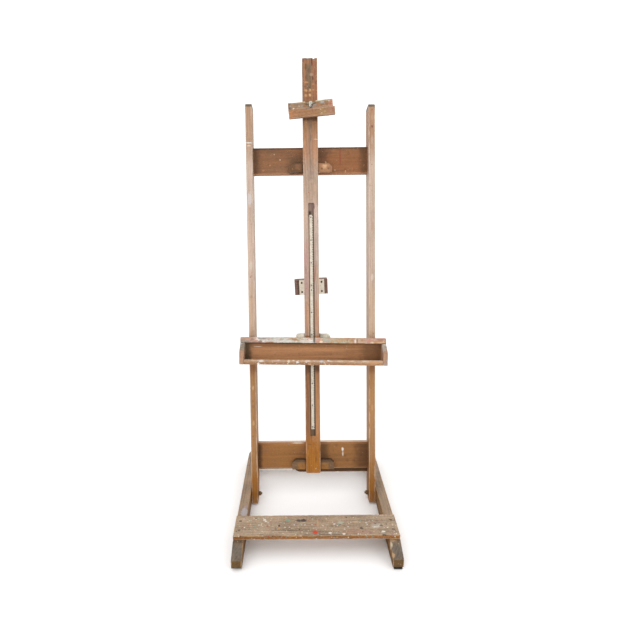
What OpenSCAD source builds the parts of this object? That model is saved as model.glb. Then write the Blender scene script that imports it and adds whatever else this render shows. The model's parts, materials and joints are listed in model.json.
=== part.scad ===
// H frame studio easel: a floor base, a tilting frame of two uprights, a sliding mast
// with a toothed rack, a paint tray that climbs the rack, a top canvas clamp and a
// two-piece rear strut that sets the tilt.
// X is to the right, +Y points to the back, +Z up, in millimetres.
// The origin is on the floor under the middle of the easel.

/* [Base] */
// Width over the two floor runners
base_w = 610; // [590:5:680]
// Length of a floor runner, front to back
runner_len = 760; // [750:5:820]
// Thickness of a runner
runner_t = 38; // [34:1:42]
// Height of a runner
runner_h = 64; // [60:1:72]
// Height of a runner's sloping toe at its tip
toe_h = 34; // [26:1:44]
// Length of the sloping toe
toe_len = 72; // [60:1:90]
// Thickness of a rubber foot pad
pad_t = 6; // [5:1:8]
// Depth of the step board, front to back
step_d = 118; // [100:1:135]
// Thickness of the step board
step_t = 15; // [12:1:20]
// Thickness of the rear stretcher
stretcher_t = 22; // [20:1:26]

/* [Tilting frame] */
// Height of the frame's pivot bolts above the floor
pivot_z = 34; // [32:1:38]
// Distance of the pivot bolts behind the middle of the runners
pivot_y = 31.6; // [20:0.1:45]
// Lean of the frame from vertical, in degrees
lean = 10.5; // [8:0.1:12]
// Width over the two uprights
frame_w = 530; // [500:2:532]
// Thickness of an upright, seen from the front
upright_t = 27; // [22:1:30]
// Depth of an upright, front to back
upright_d = 79; // [70:1:85]
// Length of an upright above the pivot bolts
upright_top = 1634.5; // [1500:0.5:1700]
// Extra length of the left upright at its top
left_extra = 7.5; // [0:0.5:10]
// Height of the upper crossbar's lower edge above the pivot, along the frame
upper_bar_z = 1362; // [1300:1:1380]
// Width of the upper crossbar board
upper_bar_h = 109; // [95:1:120]
// Height of the lower crossbar's lower edge above the pivot, along the frame
lower_bar_z = 109; // [100:1:140]
// Width of the lower crossbar board
lower_bar_h = 116; // [95:1:120]
// Thickness of the crossbars
bar_t = 24; // [20:1:26]

/* [Mast and rack] */
// Width of the mast
mast_w = 62; // [58:1:70]
// Thickness of the mast
mast_t = 34.5; // [32:0.5:38]
// Height of the mast's foot above the pivot, along the frame
mast_foot = 100; // [90:1:110]
// Length of the mast
mast_len = 1716; // [1600:1:1750]
// Pitch of the rack teeth
rack_pitch = 10; // [9:0.5:10]
// Teeth on one rack segment
rack_teeth = 30; // [26:1:30]
// Height of the rack's lower end above the pivot
rack_foot = 290; // [280:10:300]

/* [Tray] */
// Width over the tray's two ends
tray_w = 603; // [560:1:604]
// Height of the canvas ledge's top above the pivot
ledge_top = 682.5; // [662.5:10:692.5]
// Height of the tray from its underside to the ledge's top
tray_h = 106.5; // [100:0.5:115]
// Depth of the tray, front to back
tray_d = 72.5; // [65:0.5:80]
// Sideways slack of the tray, as the angle it hangs at
tray_cock = 1.15; // [0:0.05:1.2]

/* [Canvas clamp] */
// Height of the clamp's screw above the pivot
clamp_z = 1611; // [1580:1:1640]
// Width of the clamp block
clamp_w = 178; // [160:1:190]
// Depth of the clamp block, front to back
clamp_d = 44; // [36:1:50]
// Angle at which the clamp sits askew on the mast
clamp_cock = 5.1; // [0:0.1:5.1]

/* [Rear strut] */
// Width of both strut bars
strut_w = 44; // [40:1:46]
// Thickness of the upper strut bar
upper_strut_t = 18; // [16:1:20]
// Thickness of the lower strut bar
lower_strut_t = 22; // [20:1:24]
// Width of the sleeve block that joins the bars
block_w = 147; // [140:1:160]
// Height of the sleeve block
block_h = 68; // [60:1:75]
// Distance of the sleeve block's clamp bolt from the strut's foot pin
block_at = 849; // [820:1:860]
// Angle at which the sleeve block sits askew
block_cock = 2.4; // [0:0.1:2.4]

/* [Hidden] */
$fn = 48;

// Colours
runner_col = "#6b5547";
board_col = "#7d6a5c";
upright_col = "#b08a68";
bar_col = "#8a5a3c";
mast_col = "#a9764f";
tray_col = "#9c7350";
ledge_col = "#c0aea2";
dark_col = "#5c2f2a";
steel_col = "#c9c3b2";
bright_col = "#b8b8b8";
brass_col = "#b5903f";
rubber_col = "#1c1c1c";

// Clearances
fit = 0.05;         // around a screw's shank in wood
run = 0.1;          // around a pin that turns
gap = 0.3;          // between flat faces that slide

// Screws: shank radius, head radius, head height
big_screw = [2.75, 5.5, 4];
small_screw = [2, 3.8, 2];
rack_screw = [1.4, 2.6, 1];
bar_screw = [2.5, 5, 3];
keeper_screw = [2.2, 4.2, 2];

// Base
deck_z = pad_t + runner_h;
board_front = -runner_len / 2 + toe_len;
pad_l = 40;
pad_w = 30;
pad_y = runner_len / 2 - 34;
pad_forward = 13;       // the right front pad sits nearer its toe's tip
stretcher_y = 255;
stretcher_foot = 16;
inner_w = base_w / 2 - runner_t;

// Tilting frame, measured from the pivot: y is depth, z runs along the frame
upright_front = -31.5;
upright_back = upright_front + upright_d;
upright_in = frame_w / 2 - upright_t;
bar_front = 0.5;
bar_back = bar_front + bar_t;
bar_mid = (bar_front + bar_back) / 2;
top_bevel = 15;
top_round = 20;
foot_cut = -32.5;
heel_rise = 15;

// Backing plate
backing_left = -84;
backing_t = 12;
backing_h = 62;
backing_drop = 25;
backing_r = 30;

// Pivot bolts
bolt_r = 5;
bolt_head_r = 9;
bolt_head_h = 7;
washer_r = 13;
washer_t = 1.5;
nut_t = 9;

// Centre rail and its T tongue
rail_hw = 15;
tongue_neck = 5;
tongue_head = 9.5;
tongue_neck_y = -7.5;
tongue_head_y = -15;
tongue_foot = 235;
tongue_top = 1340;
tenon_w = 20;
tenon_t = 12;
tenon_l = 20;

// Mast guides
guide_in = mast_w / 2 + 1;
guide_out = 90;
guide_t = 22;
guide_chamfer = 14;
upper_guide_z = upper_bar_z + 3;
upper_guide_h = 36;
lower_guide_z = lower_bar_z + 3;
lower_guide_h = 42;

// Mast
mast_front = -mast_t;
mast_top = mast_foot + mast_len;
groove_hw = 11;
groove_d = 7.5;
groove_foot = 262;
groove_top = 1238;
rack_t = 3;
rack_left = -6.5;
rack_root = 4.5;
rack_tip = 7.5;
rack_len = rack_pitch * rack_teeth;
rack_face = mast_front + groove_d - rack_t;
rack_screw_x = -1;
rack_screw_gap = (rack_len - 20) / 3;

// Mast lock
lock_x = 20;
lock_z = 1447;
stud_r = 4;
insert_r = 6;
lock_knob_r = 19;
lock_knob_t = 24;

// Tray, measured like the frame before it hangs askew
tray_mid = 3;
tray_back_y = mast_front - 0.5;
tray_front_y = tray_back_y - tray_d;
tray_foot = ledge_top - tray_h;
tray_axis_z = ledge_top - 42.5;
end_t = 19;
ledge_t = 21;
ledge_d = 31;
tray_board = 10;
back_t = 16;
lip_t = 16;
lip_h = 21;
end_front_h = 51;
tray_in_l = tray_mid - tray_w / 2 + end_t;
tray_in_r = tray_mid + tray_w / 2 - end_t;
block_in = mast_w / 2 + 2.5;
block_reach = 73;
block_lip_in = 19;
block_foot = ledge_top - 82.5;
block_top = ledge_top + 13;
block_back = 12.5;
keeper_front = 1.5;

// Rack pawl
pawl_x = 4.9;
pawl_t = 3.5;
pawl_clear = 1.2;
slit_x = 3.9;
slit_w = 6.2;
slit_d = back_t - 2.4;
slit_drop = 26;
pawl_pin_y = -44;
pawl_pin_z = ledge_top - 14.5;
pawl_pin_r = 2;

// Clamp, measured from its screw's axis
shoe_t = 6.5;
shoe_back = mast_front - gap;
shoe_front = shoe_back - shoe_t;
clamp_back = shoe_front - 4.7;
clamp_front = clamp_back - clamp_d;
clamp_up = 15;
clamp_down = -14;
jaw_t = 14;
jaw_h = 32;
jaw_front = clamp_front - 2;
jaw_extra = 6.5;
notch_hw = 22;
notch_d = 14;
notch_tip = -12;
spacer_in = mast_w / 2 + 4;
spacer_w = 20;
back_bar_front = 1.5;
back_bar_t = 12;
clamp_screw_x = spacer_in + spacer_w / 2;
jaw_screw_x = 62;

// Rear strut: v is depth and w runs along the bars, from the foot pin
foot_y = 297;
foot_z = 44;
strut_play = 1;
strut_gap = lower_strut_t / 2 + strut_play + upper_strut_t / 2;
top_pin_y = 40;
top_pin_z = 1392;
top_dy = pivot_y + top_pin_z * sin(lean) + top_pin_y * cos(lean) - foot_y;
top_dz = pivot_z + top_pin_z * cos(lean) - top_pin_y * sin(lean) - foot_z;
strut_span = sqrt(top_dy * top_dy + top_dz * top_dz);
strut_lean = atan2(top_dy, top_dz) + asin(strut_gap / strut_span);
top_eye = sqrt(strut_span * strut_span - strut_gap * strut_gap);
strut_pin_r = 4;
eye_r = 11;
eye_slack = 2.7;
channel_hw = strut_w / 2 + 3;
block_x = 2;
block_front = -strut_gap - upper_strut_t / 2 - strut_play;
channel_back = lower_strut_t / 2 + gap;
block_rear = channel_back + 7.7;
plate_t = 3;
plate_x = 4.5;
plate_w = 111;
plate_h = 66;
plate_screw_x = 44;
plate_screw_w = 20.5;
slot_foot = -62;
slot_top = 42;
slot_hw = 5;
upper_strut_foot = 760;
knob_front = block_rear + 1;
knob_t = 26;
knob_r = 18;
bracket_t = 3;
bracket_hw = 27;
cheek_in = strut_w / 2 + 0.8;

// ---- helpers ----

// Box between two corners
module block(x, y, z) {
    translate([x[0], y[0], z[0]])
        cube([x[1] - x[0], y[1] - y[0], z[1] - z[0]]);
}

// A (y, z) outline made solid from x0 over a thickness
module side_plate(x0, t) {
    translate([x0, 0, 0])
        rotate([90, 0, 90])
            linear_extrude(t) children();
}

// A (x, z) outline made solid from y0 over a thickness
module face_plate(y0, t) {
    translate([0, y0 + t, 0])
        rotate([90, 0, 0])
            linear_extrude(t) children();
}

// Round bar along X
module rod_x(r, x0, x1, y, z) {
    translate([x0, y, z]) rotate([0, 90, 0]) cylinder(r = r, h = x1 - x0);
}

// Round bar along Y
module rod_y(r, y0, y1, x, z) {
    translate([x, y0, z]) rotate([-90, 0, 0]) cylinder(r = r, h = y1 - y0);
}

// Screw whose head's top is at z = 0 and whose shank points down
module screw(size, len) {
    translate([0, 0, -size[2]]) cylinder(r = size[1], h = size[2]);
    translate([0, 0, -len]) cylinder(r = size[0], h = len);
}

// The hole that such a screw sits in, open above the head
module screw_hole(size, len) {
    translate([0, 0, -size[2]]) cylinder(r = size[1] + fit, h = size[2] + 40);
    translate([0, 0, -len - fit]) cylinder(r = size[0] + fit, h = len);
}

module both_sides() {
    children();
    mirror([1, 0, 0]) children();
}

// Frames of reference
module on_frame() {
    translate([0, pivot_y, pivot_z]) rotate([-lean, 0, 0]) children();
}

module on_tray() {
    on_frame()
        translate([0, 0, tray_axis_z])
            rotate([0, tray_cock, 0])
                translate([0, 0, -tray_axis_z]) children();
}

module on_clamp() {
    on_frame() translate([0, 0, clamp_z]) rotate([0, -clamp_cock, 0]) children();
}

module on_strut() {
    translate([0, foot_y, foot_z]) rotate([-strut_lean, 0, 0]) children();
}

module on_block() {
    on_strut() translate([0, 0, block_at]) rotate([0, -block_cock, 0]) children();
}

// ---- base ----

module runner_outline() {
    polygon([
        [-runner_len / 2, pad_t],
        [runner_len / 2, pad_t],
        [runner_len / 2, pad_t + toe_h],
        [runner_len / 2 - toe_len, deck_z],
        [board_front, deck_z],
        [-runner_len / 2, pad_t + toe_h]
    ]);
}

// Places of the base's wood screws, each with its head outwards
module at_base_screws() {
    for (side = [-1, 1]) {
        for (y = [board_front + 32, board_front + step_d - 32])
            translate([side * (base_w / 2 - runner_t / 2), y, deck_z + step_t]) children();
        for (z = [24, 52])
            translate([side * base_w / 2, stretcher_y + stretcher_t / 2, z])
                rotate([0, side * 90, 0]) children();
    }
}

module at_foot_bracket_screws() {
    for (x = [-12, 12])
        for (z = [foot_z - 20, foot_z + 21])
            translate([x, stretcher_y + stretcher_t + bracket_t + 2, z])
                rotate([-90, 0, 0]) children();
}

module base_screw_holes() {
    at_base_screws() screw_hole(big_screw, 70);
    at_foot_bracket_screws() screw_hole(small_screw, 20);
}

module runner() {
    color(runner_col)
        difference() {
            side_plate(inner_w, runner_t) runner_outline();
            rod_x(bolt_r + fit, inner_w - 1, base_w / 2 + 1, pivot_y, pivot_z);
            rod_x(bolt_head_r + 0.5, base_w / 2 - bolt_head_h - 0.5, base_w / 2 + 1,
                pivot_y, pivot_z);
            base_screw_holes();
        }
}

module left_runner() mirror([1, 0, 0]) runner();

module right_runner() runner();

module step_board() {
    color(board_col)
        difference() {
            block([-base_w / 2, base_w / 2], [board_front, board_front + step_d],
                [deck_z, deck_z + step_t]);
            base_screw_holes();
        }
}

module rear_stretcher() {
    color(runner_col)
        difference() {
            block([-inner_w, inner_w], [stretcher_y, stretcher_y + stretcher_t],
                [stretcher_foot, deck_z]);
            base_screw_holes();
        }
}

module base_screws() {
    color(bright_col) {
        at_base_screws() screw(big_screw, 70);
        at_foot_bracket_screws() screw(small_screw, 20);
    }
}

module foot_pads() {
    color(rubber_col)
        for (p = [[-1, -pad_y], [-1, pad_y], [1, -pad_y - pad_forward], [1, pad_y]])
            translate([p[0] * (base_w - runner_t) / 2 - pad_w / 2, p[1] - pad_l / 2, 0])
                cube([pad_w, pad_l, pad_t]);
}

module pivot_bolts() {
    color(bright_col)
        both_sides() {
            rod_x(bolt_head_r, base_w / 2 - bolt_head_h - 0.5, base_w / 2 - 0.5, pivot_y, pivot_z);
            rod_x(bolt_r, upright_in - washer_t - nut_t - 5, base_w / 2 - 1, pivot_y, pivot_z);
        }
}

module washer(x0) {
    difference() {
        rod_x(washer_r, x0, x0 + washer_t, pivot_y, pivot_z);
        rod_x(bolt_r + run, x0 - 1, x0 + washer_t + 1, pivot_y, pivot_z);
    }
}

module pivot_washers() {
    color(bright_col)
        both_sides() {
            washer(frame_w / 2 + gap);
            washer(upright_in - gap - washer_t);
        }
}

module pivot_nuts() {
    nut_x = upright_in - gap - washer_t - nut_t - fit;
    color(bright_col)
        both_sides()
            difference() {
                translate([nut_x, pivot_y, pivot_z])
                    rotate([0, 90, 0]) cylinder(r = 9.8, h = nut_t, $fn = 6);
                rod_x(bolt_r + fit, nut_x - 1, nut_x + nut_t + 1, pivot_y, pivot_z);
            }
}

// A plate with two cheeks that hold a hinge pin, its plate's front at y0
module hinge_bracket(y0, plate_z, pin_y, pin_z) {
    difference() {
        union() {
            block([-bracket_hw, bracket_hw], [y0, y0 + bracket_t], plate_z);
            for (x = [-cheek_in - bracket_t, cheek_in]) {
                block([x, x + bracket_t], [y0 + 1, pin_y], [pin_z - 12, pin_z + 12]);
                rod_x(12, x, x + bracket_t, pin_y, pin_z);
            }
        }
        rod_x(strut_pin_r + fit, -bracket_hw - 1, bracket_hw + 1, pin_y, pin_z);
        children();
    }
}

module hinge_pin(pin_y, pin_z) {
    hw = cheek_in + bracket_t + 0.5;
    rod_x(strut_pin_r, -hw, hw, pin_y, pin_z);
    for (x = [-hw - 2, hw])
        rod_x(6, x, x + 2, pin_y, pin_z);
}

module strut_foot_bracket() {
    color(steel_col)
        hinge_bracket(stretcher_y + stretcher_t, [18, deck_z - 1], foot_y, foot_z)
            base_screw_holes();
}

module strut_foot_pin() {
    color(bright_col) hinge_pin(foot_y, foot_z);
}

// ---- tilting frame ----

module upright_outline(top) {
    difference() {
        polygon([
            [upright_front, foot_cut],
            [2, foot_cut],
            [upright_back, foot_cut + heel_rise],
            [upright_back, top],
            [upright_front + 9, top],
            [upright_front, top - top_bevel]
        ]);
        translate([upright_back - top_round, top - top_round])
            difference() {
                square(top_round + 1);
                circle(r = top_round);
            }
    }
}

module at_crossbar_screws() {
    for (side = [-1, 1])
        for (z = [upper_bar_z + 25, upper_bar_z + upper_bar_h - 25,
                lower_bar_z + 27, lower_bar_z + lower_bar_h - 27])
            translate([side * frame_w / 2, bar_mid, z])
                rotate([0, side * 90, 0]) children();
}

module crossbar_screw_holes() {
    at_crossbar_screws() screw_hole(big_screw, 75);
}

module upright(top) {
    color(upright_col)
        on_frame()
            difference() {
                side_plate(upright_in, upright_t) upright_outline(top);
                rod_x(bolt_r + run, upright_in - 1, frame_w / 2 + 1, 0, 0);
                crossbar_screw_holes();
            }
}

module left_upright() mirror([1, 0, 0]) upright(upright_top + left_extra);

module right_upright() upright(upright_top);

// Places of the small screws: guides, backing plate and strut bracket
module at_guide_screws() {
    for (side = [-1, 1])
        for (x = [guide_in + 15, guide_out - 16])
            for (z = [upper_guide_z + upper_guide_h / 2 - 4,
                    lower_guide_z + lower_guide_h / 2 - 4])
                translate([side * x, bar_front - guide_t, z])
                    rotate([90, 0, 0]) children();
}

module at_backing_screws() {
    for (x = [-50, 60, 190])
        translate([x, bar_back + backing_t, lower_bar_z + 16])
            rotate([-90, 0, 0]) children();
}

module at_bracket_screws() {
    for (x = [-12, 12])
        for (z = [top_pin_z - 18, top_pin_z + 22])
            translate([x, bar_back + bracket_t + 2, z])
                rotate([-90, 0, 0]) children();
}

module frame_screw_holes() {
    at_guide_screws() screw_hole(small_screw, 38);
    at_backing_screws() screw_hole(small_screw, 28);
    at_bracket_screws() screw_hole(small_screw, 20);
}

module tenons(play) {
    for (z = [upper_bar_z, lower_bar_z + lower_bar_h])
        block([-tenon_w / 2 - play, tenon_w / 2 + play],
            [bar_mid - tenon_t / 2 - play, bar_mid + tenon_t / 2 + play],
            [z - tenon_l - play, z + tenon_l + play]);
}

module upper_crossbar() {
    color(bar_col)
        on_frame()
            difference() {
                block([-upright_in, upright_in], [bar_front, bar_back],
                    [upper_bar_z, upper_bar_z + upper_bar_h]);
                crossbar_screw_holes();
                frame_screw_holes();
                tenons(0.1);
                rod_y(insert_r + fit, bar_front + 8, bar_back + 1, lock_x, lock_z);
                rod_y(stud_r + 0.6, bar_front - 1, bar_back + 1, lock_x, lock_z);
            }
}

module lower_crossbar() {
    color(bar_col)
        on_frame()
            difference() {
                block([-upright_in, upright_in], [bar_front, bar_back],
                    [lower_bar_z, lower_bar_z + lower_bar_h]);
                crossbar_screw_holes();
                frame_screw_holes();
                tenons(0.1);
            }
}

module crossbar_screws() {
    color(bright_col) on_frame() at_crossbar_screws() screw(big_screw, 75);
}

module centre_rail() {
    rail_z = [lower_bar_z + lower_bar_h, upper_bar_z];
    color(bar_col)
        on_frame() {
            block([-rail_hw, rail_hw], [bar_front, bar_back], rail_z);
            block([-tongue_neck, tongue_neck], [tongue_neck_y, bar_front],
                [tongue_foot, tongue_top]);
            block([-tongue_head, tongue_head], [tongue_head_y, tongue_neck_y],
                [tongue_foot, tongue_top]);
            intersection() {
                tenons(0);
                block([-rail_hw, rail_hw], [bar_front, bar_back],
                    [rail_z[0] - tenon_l, rail_z[1] + tenon_l]);
            }
        }
}

module guide(z0, h) {
    color(mast_col)
        on_frame()
            difference() {
                face_plate(bar_front - guide_t, guide_t)
                    polygon([
                        [guide_in, z0],
                        [guide_out, z0],
                        [guide_out, z0 + h - guide_chamfer],
                        [guide_out - guide_chamfer, z0 + h],
                        [guide_in, z0 + h]
                    ]);
                frame_screw_holes();
            }
}

module upper_left_guide() mirror([1, 0, 0]) guide(upper_guide_z, upper_guide_h);

module upper_right_guide() guide(upper_guide_z, upper_guide_h);

module lower_left_guide() mirror([1, 0, 0]) guide(lower_guide_z, lower_guide_h);

module lower_right_guide() guide(lower_guide_z, lower_guide_h);

// Board behind the lower crossbar's lower edge, from left of the mast to the right
// upright, with its lower left corner rounded
module backing_plate() {
    foot = lower_bar_z - backing_drop;
    r = backing_r;
    color(mast_col)
        on_frame()
            difference() {
                face_plate(bar_back, backing_t)
                    union() {
                        translate([backing_left, foot + r])
                            square([upright_in - backing_left, backing_h - r]);
                        translate([backing_left + r, foot])
                            square([upright_in - backing_left - r, r + 1]);
                        translate([backing_left + r, foot + r]) circle(r = r);
                    }
                frame_screw_holes();
            }
}

module frame_screws() {
    color(bright_col)
        on_frame() {
            at_guide_screws() screw(small_screw, 38);
            at_backing_screws() screw(small_screw, 28);
            at_bracket_screws() screw(small_screw, 20);
        }
}

module strut_top_bracket() {
    color(steel_col)
        on_frame()
            hinge_bracket(bar_back, [top_pin_z - 25, top_pin_z + 29], top_pin_y, top_pin_z)
                frame_screw_holes();
}

module strut_top_pin() {
    color(bright_col) on_frame() hinge_pin(top_pin_y, top_pin_z);
}

module mast_lock_insert() {
    color(brass_col)
        on_frame()
            difference() {
                rod_y(insert_r, bar_front + 8, bar_back, lock_x, lock_z);
                rod_y(stud_r + run, bar_front + 7, bar_back + 1, lock_x, lock_z);
            }
}

// Round knob with six grips scooped out of its rim
module fluted_knob(r, t) {
    scoop_r = r * 0.34;
    scoop_at = r * 1.14;
    difference() {
        rotate([-90, 0, 0]) cylinder(r = r, h = t);
        for (i = [0:5])
            rotate([0, i * 60, 0])
                rod_y(scoop_r, -1, t + 1, scoop_at, 0);
    }
}

module mast_lock_knob() {
    color(dark_col)
        on_frame() {
            translate([lock_x, bar_back + 3, lock_z]) fluted_knob(lock_knob_r, lock_knob_t);
            rod_y(stud_r, 0.4, bar_back + 5, lock_x, lock_z);
        }
}

// ---- mast ----

module at_rack_screws() {
    for (seg = [0:2])
        for (i = [0:3])
            translate([rack_screw_x, rack_face - 1,
                    rack_foot + seg * rack_len + 10 + i * rack_screw_gap])
                rotate([90, 0, 0]) children();
}

module mast() {
    color(mast_col)
        on_frame()
            difference() {
                block([-mast_w / 2, mast_w / 2], [mast_front, 0], [mast_foot, mast_top]);
                block([-groove_hw, groove_hw], [mast_front - 1, mast_front + groove_d],
                    [groove_foot, groove_top]);
                block([-tongue_neck - 1, tongue_neck + 1], [tongue_neck_y - 1, 1],
                    [mast_foot - 1, tongue_top + 0.5]);
                block([-tongue_head - 1, tongue_head + 1],
                    [tongue_head_y - 1, tongue_neck_y + 0.5],
                    [mast_foot - 1, tongue_top + 0.5]);
                at_rack_screws() screw_hole(rack_screw, 13);
            }
}

// One rack segment: a flat steel strip with square teeth on its right edge
module rack_segment(seg) {
    z0 = rack_foot + seg * rack_len + 0.1;
    color(steel_col)
        on_frame()
            difference() {
                face_plate(rack_face, rack_t)
                    union() {
                        translate([rack_left, z0])
                            square([rack_root - rack_left, rack_len - 0.2]);
                        for (i = [0:rack_teeth - 1])
                            translate([rack_root, z0 + i * rack_pitch])
                                polygon([[-1, 0], [0, 0], [rack_tip - rack_root, 0.6],
                                    [rack_tip - rack_root, 3.4], [0, 4.6], [-1, 4.6]]);
                    }
                at_rack_screws() screw_hole(rack_screw, 13);
            }
}

module rack_bottom() rack_segment(0);

module rack_middle() rack_segment(1);

module rack_top() rack_segment(2);

module rack_screws() {
    color(bright_col) on_frame() at_rack_screws() screw(rack_screw, 12);
}

// ---- tray ----

module at_tray_screws() {
    for (side = [-1, 1]) {
        x = tray_mid + side * tray_w / 2;
        for (p = [[tray_back_y - back_t / 2, tray_foot + 24],
                [tray_back_y - back_t / 2, tray_foot + 62],
                [tray_front_y + lip_t / 2, tray_foot + 10]])
            translate([x, p[0], p[1]]) rotate([0, side * 90, 0]) children();
        translate([x - side * end_t / 2, tray_back_y - 14, ledge_top]) children();
    }
}

module at_carriage_screws() {
    for (x = [-54, 58])
        for (z = [block_foot + 15, block_foot + 48])
            translate([x, tray_back_y - back_t, z]) rotate([90, 0, 0]) children();
}

module tray_screw_holes() {
    at_tray_screws() screw_hole(small_screw, 40);
    at_carriage_screws() screw_hole(small_screw, 40);
}

// Slit through the ledge that goes on as a blind channel down the back board
module pawl_slit() {
    block([slit_x, slit_x + slit_w], [tray_back_y - slit_d, tray_back_y + 1],
        [ledge_top - ledge_t - slit_drop, ledge_top + 1]);
    block([slit_x, slit_x + slit_w], [tray_back_y - ledge_d - 1, tray_back_y - slit_d + 1],
        [ledge_top - 15.5, ledge_top + 1]);
}

module tray_ledge() {
    color(ledge_col)
        on_tray()
            difference() {
                block([tray_mid - tray_w / 2, tray_mid + tray_w / 2],
                    [tray_back_y - ledge_d, tray_back_y], [ledge_top - ledge_t, ledge_top]);
                pawl_slit();
                rod_x(pawl_pin_r + fit, -6.1, 20.1, pawl_pin_y, pawl_pin_z);
                tray_screw_holes();
            }
}

module tray_back() {
    color(tray_col)
        on_tray()
            difference() {
                block([tray_in_l, tray_in_r], [tray_back_y - back_t, tray_back_y],
                    [tray_foot, ledge_top - ledge_t]);
                pawl_slit();
                tray_screw_holes();
            }
}

module tray_bottom() {
    color(tray_col)
        on_tray()
            block([tray_in_l, tray_in_r], [tray_front_y + lip_t, tray_back_y - back_t],
                [tray_foot, tray_foot + tray_board]);
}

module tray_lip() {
    color(tray_col)
        on_tray()
            difference() {
                block([tray_in_l, tray_in_r], [tray_front_y, tray_front_y + lip_t],
                    [tray_foot, tray_foot + lip_h]);
                tray_screw_holes();
            }
}

module tray_end(x0) {
    color(ledge_col)
        on_tray()
            difference() {
                side_plate(x0, end_t)
                    polygon([
                        [tray_back_y, tray_foot],
                        [tray_back_y, ledge_top - ledge_t],
                        [tray_back_y - ledge_d + 2, ledge_top - ledge_t],
                        [tray_front_y, tray_foot + end_front_h],
                        [tray_front_y, tray_foot]
                    ]);
                tray_screw_holes();
            }
}

module tray_left_end() tray_end(tray_mid - tray_w / 2);

module tray_right_end() tray_end(tray_in_r);

// Carriage block beside the mast, with a lip that reaches behind it.
// far is its outer edge, and side is -1 on the left and 1 on the right
module carriage_block(side, far) {
    r = 14;
    wide = far - block_in;
    color(ledge_col)
        on_tray()
            difference() {
                mirror([side < 0 ? 1 : 0, 0, 0]) {
                    face_plate(tray_back_y, block_back - tray_back_y)
                        union() {
                            translate([block_in, block_foot])
                                square([wide, block_top - block_foot - r]);
                            translate([block_in, block_top - r - 1])
                                square([wide - r, r + 1]);
                            translate([far - r, block_top - r]) circle(r = r);
                        }
                    block([block_lip_in, block_in + 1], [keeper_front, block_back],
                        [block_foot, block_top]);
                }
                tray_screw_holes();
            }
}

module left_carriage_block() carriage_block(-1, block_reach - tray_mid);

module right_carriage_block() carriage_block(1, block_reach + tray_mid);

module tray_screws() {
    color(bright_col)
        on_tray() {
            at_tray_screws() screw(small_screw, 40);
            at_carriage_screws() screw(small_screw, 40);
        }
}

module pawl_pin() {
    color(bright_col) on_tray() rod_x(pawl_pin_r, -6, 20, pawl_pin_y, pawl_pin_z);
}

// Leaf spring that stands in the channel, in front of the pawl's leg
module pawl_spring() {
    foot = -ledge_t - slit_drop;
    leaf = 0.8;
    color(bright_col)
        on_tray()
            side_plate(pawl_x, pawl_t)
                translate([tray_back_y - slit_d, ledge_top])
                    polygon([[5, foot], [0, foot + 8], [0, foot + 19],
                        [leaf, foot + 19], [leaf, foot + 8.4], [5 + leaf, foot]]);
}

module rack_pawl() {
    back = tray_back_y;
    nose = rack_face - pawl_clear;
    thumb = tray_back_y - ledge_d - 1.6;
    color(steel_col)
        on_tray()
            difference() {
                side_plate(pawl_x, pawl_t)
                    translate([0, ledge_top])
                        polygon([
                            [nose, -38.9], [nose, -35.9], [back - 3, -30.5], [back - 3, -9],
                            [back - 7, -1], [thumb - 2, -1], [thumb - 2, 1 - ledge_t],
                            [thumb, 1 - ledge_t], [thumb, -9], [back - 13, -10],
                            [back - 10.5, -26.5], [back - 7, -36.5]
                        ]);
                rod_x(pawl_pin_r + run, pawl_x - 1, pawl_x + pawl_t + 1,
                    pawl_pin_y, pawl_pin_z);
            }
}

// ---- canvas clamp ----

module clamp_shoe() {
    color(dark_col)
        on_frame()
            block([-18, 18], [shoe_front, shoe_back], [clamp_z - 12, clamp_z + 12]);
}

module at_bar_screws() {
    for (x = [-clamp_screw_x, clamp_screw_x])
        translate([x, back_bar_front + back_bar_t + 3, 0]) rotate([-90, 0, 0]) children();
}

module at_jaw_screws() {
    for (x = [-jaw_screw_x, jaw_screw_x])
        translate([x, clamp_front + 6, clamp_down - jaw_h]) rotate([180, 0, 0]) children();
}

module clamp_screw_holes() {
    at_bar_screws() screw_hole(bar_screw, 80);
    at_jaw_screws() screw_hole(small_screw, 50);
}

module clamp_block() {
    color(ledge_col)
        on_clamp()
            difference() {
                block([-clamp_w / 2, clamp_w / 2], [clamp_front, clamp_back],
                    [clamp_down, clamp_up]);
                face_plate(clamp_front - 1, notch_d + 1)
                    polygon([[-notch_hw, clamp_up], [-notch_hw, clamp_up + 1],
                        [notch_hw, clamp_up + 1], [notch_hw, clamp_up], [0, notch_tip]]);
                rod_y(insert_r + fit, clamp_front + notch_d - 1,
                    clamp_front + notch_d + 20, 0, 0);
                rod_y(stud_r + 0.6, clamp_front, clamp_back + 1, 0, 0);
                clamp_screw_holes();
            }
}

module clamp_jaw() {
    color(mast_col)
        on_clamp()
            difference() {
                block([-clamp_w / 2, clamp_w / 2 + jaw_extra], [jaw_front, jaw_front + jaw_t],
                    [clamp_down - jaw_h, clamp_down]);
                clamp_screw_holes();
            }
}

module clamp_spacers() {
    color(mast_col)
        on_clamp()
            difference() {
                both_sides()
                    block([spacer_in, spacer_in + spacer_w], [clamp_back, back_bar_front],
                        [clamp_down, clamp_up - 3]);
                clamp_screw_holes();
            }
}

module clamp_back_bar() {
    hw = spacer_in + spacer_w;
    color(mast_col)
        on_clamp()
            difference() {
                block([-hw, hw], [back_bar_front, back_bar_front + back_bar_t],
                    [clamp_down + 2, clamp_up - 3]);
                at_bar_screws() cylinder(r = bar_screw[0] + fit, h = 200, center = true);
            }
}

module clamp_screws() {
    color(bright_col)
        on_clamp() {
            at_bar_screws() screw(bar_screw, 80);
            at_jaw_screws() screw(small_screw, 50);
        }
}

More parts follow.
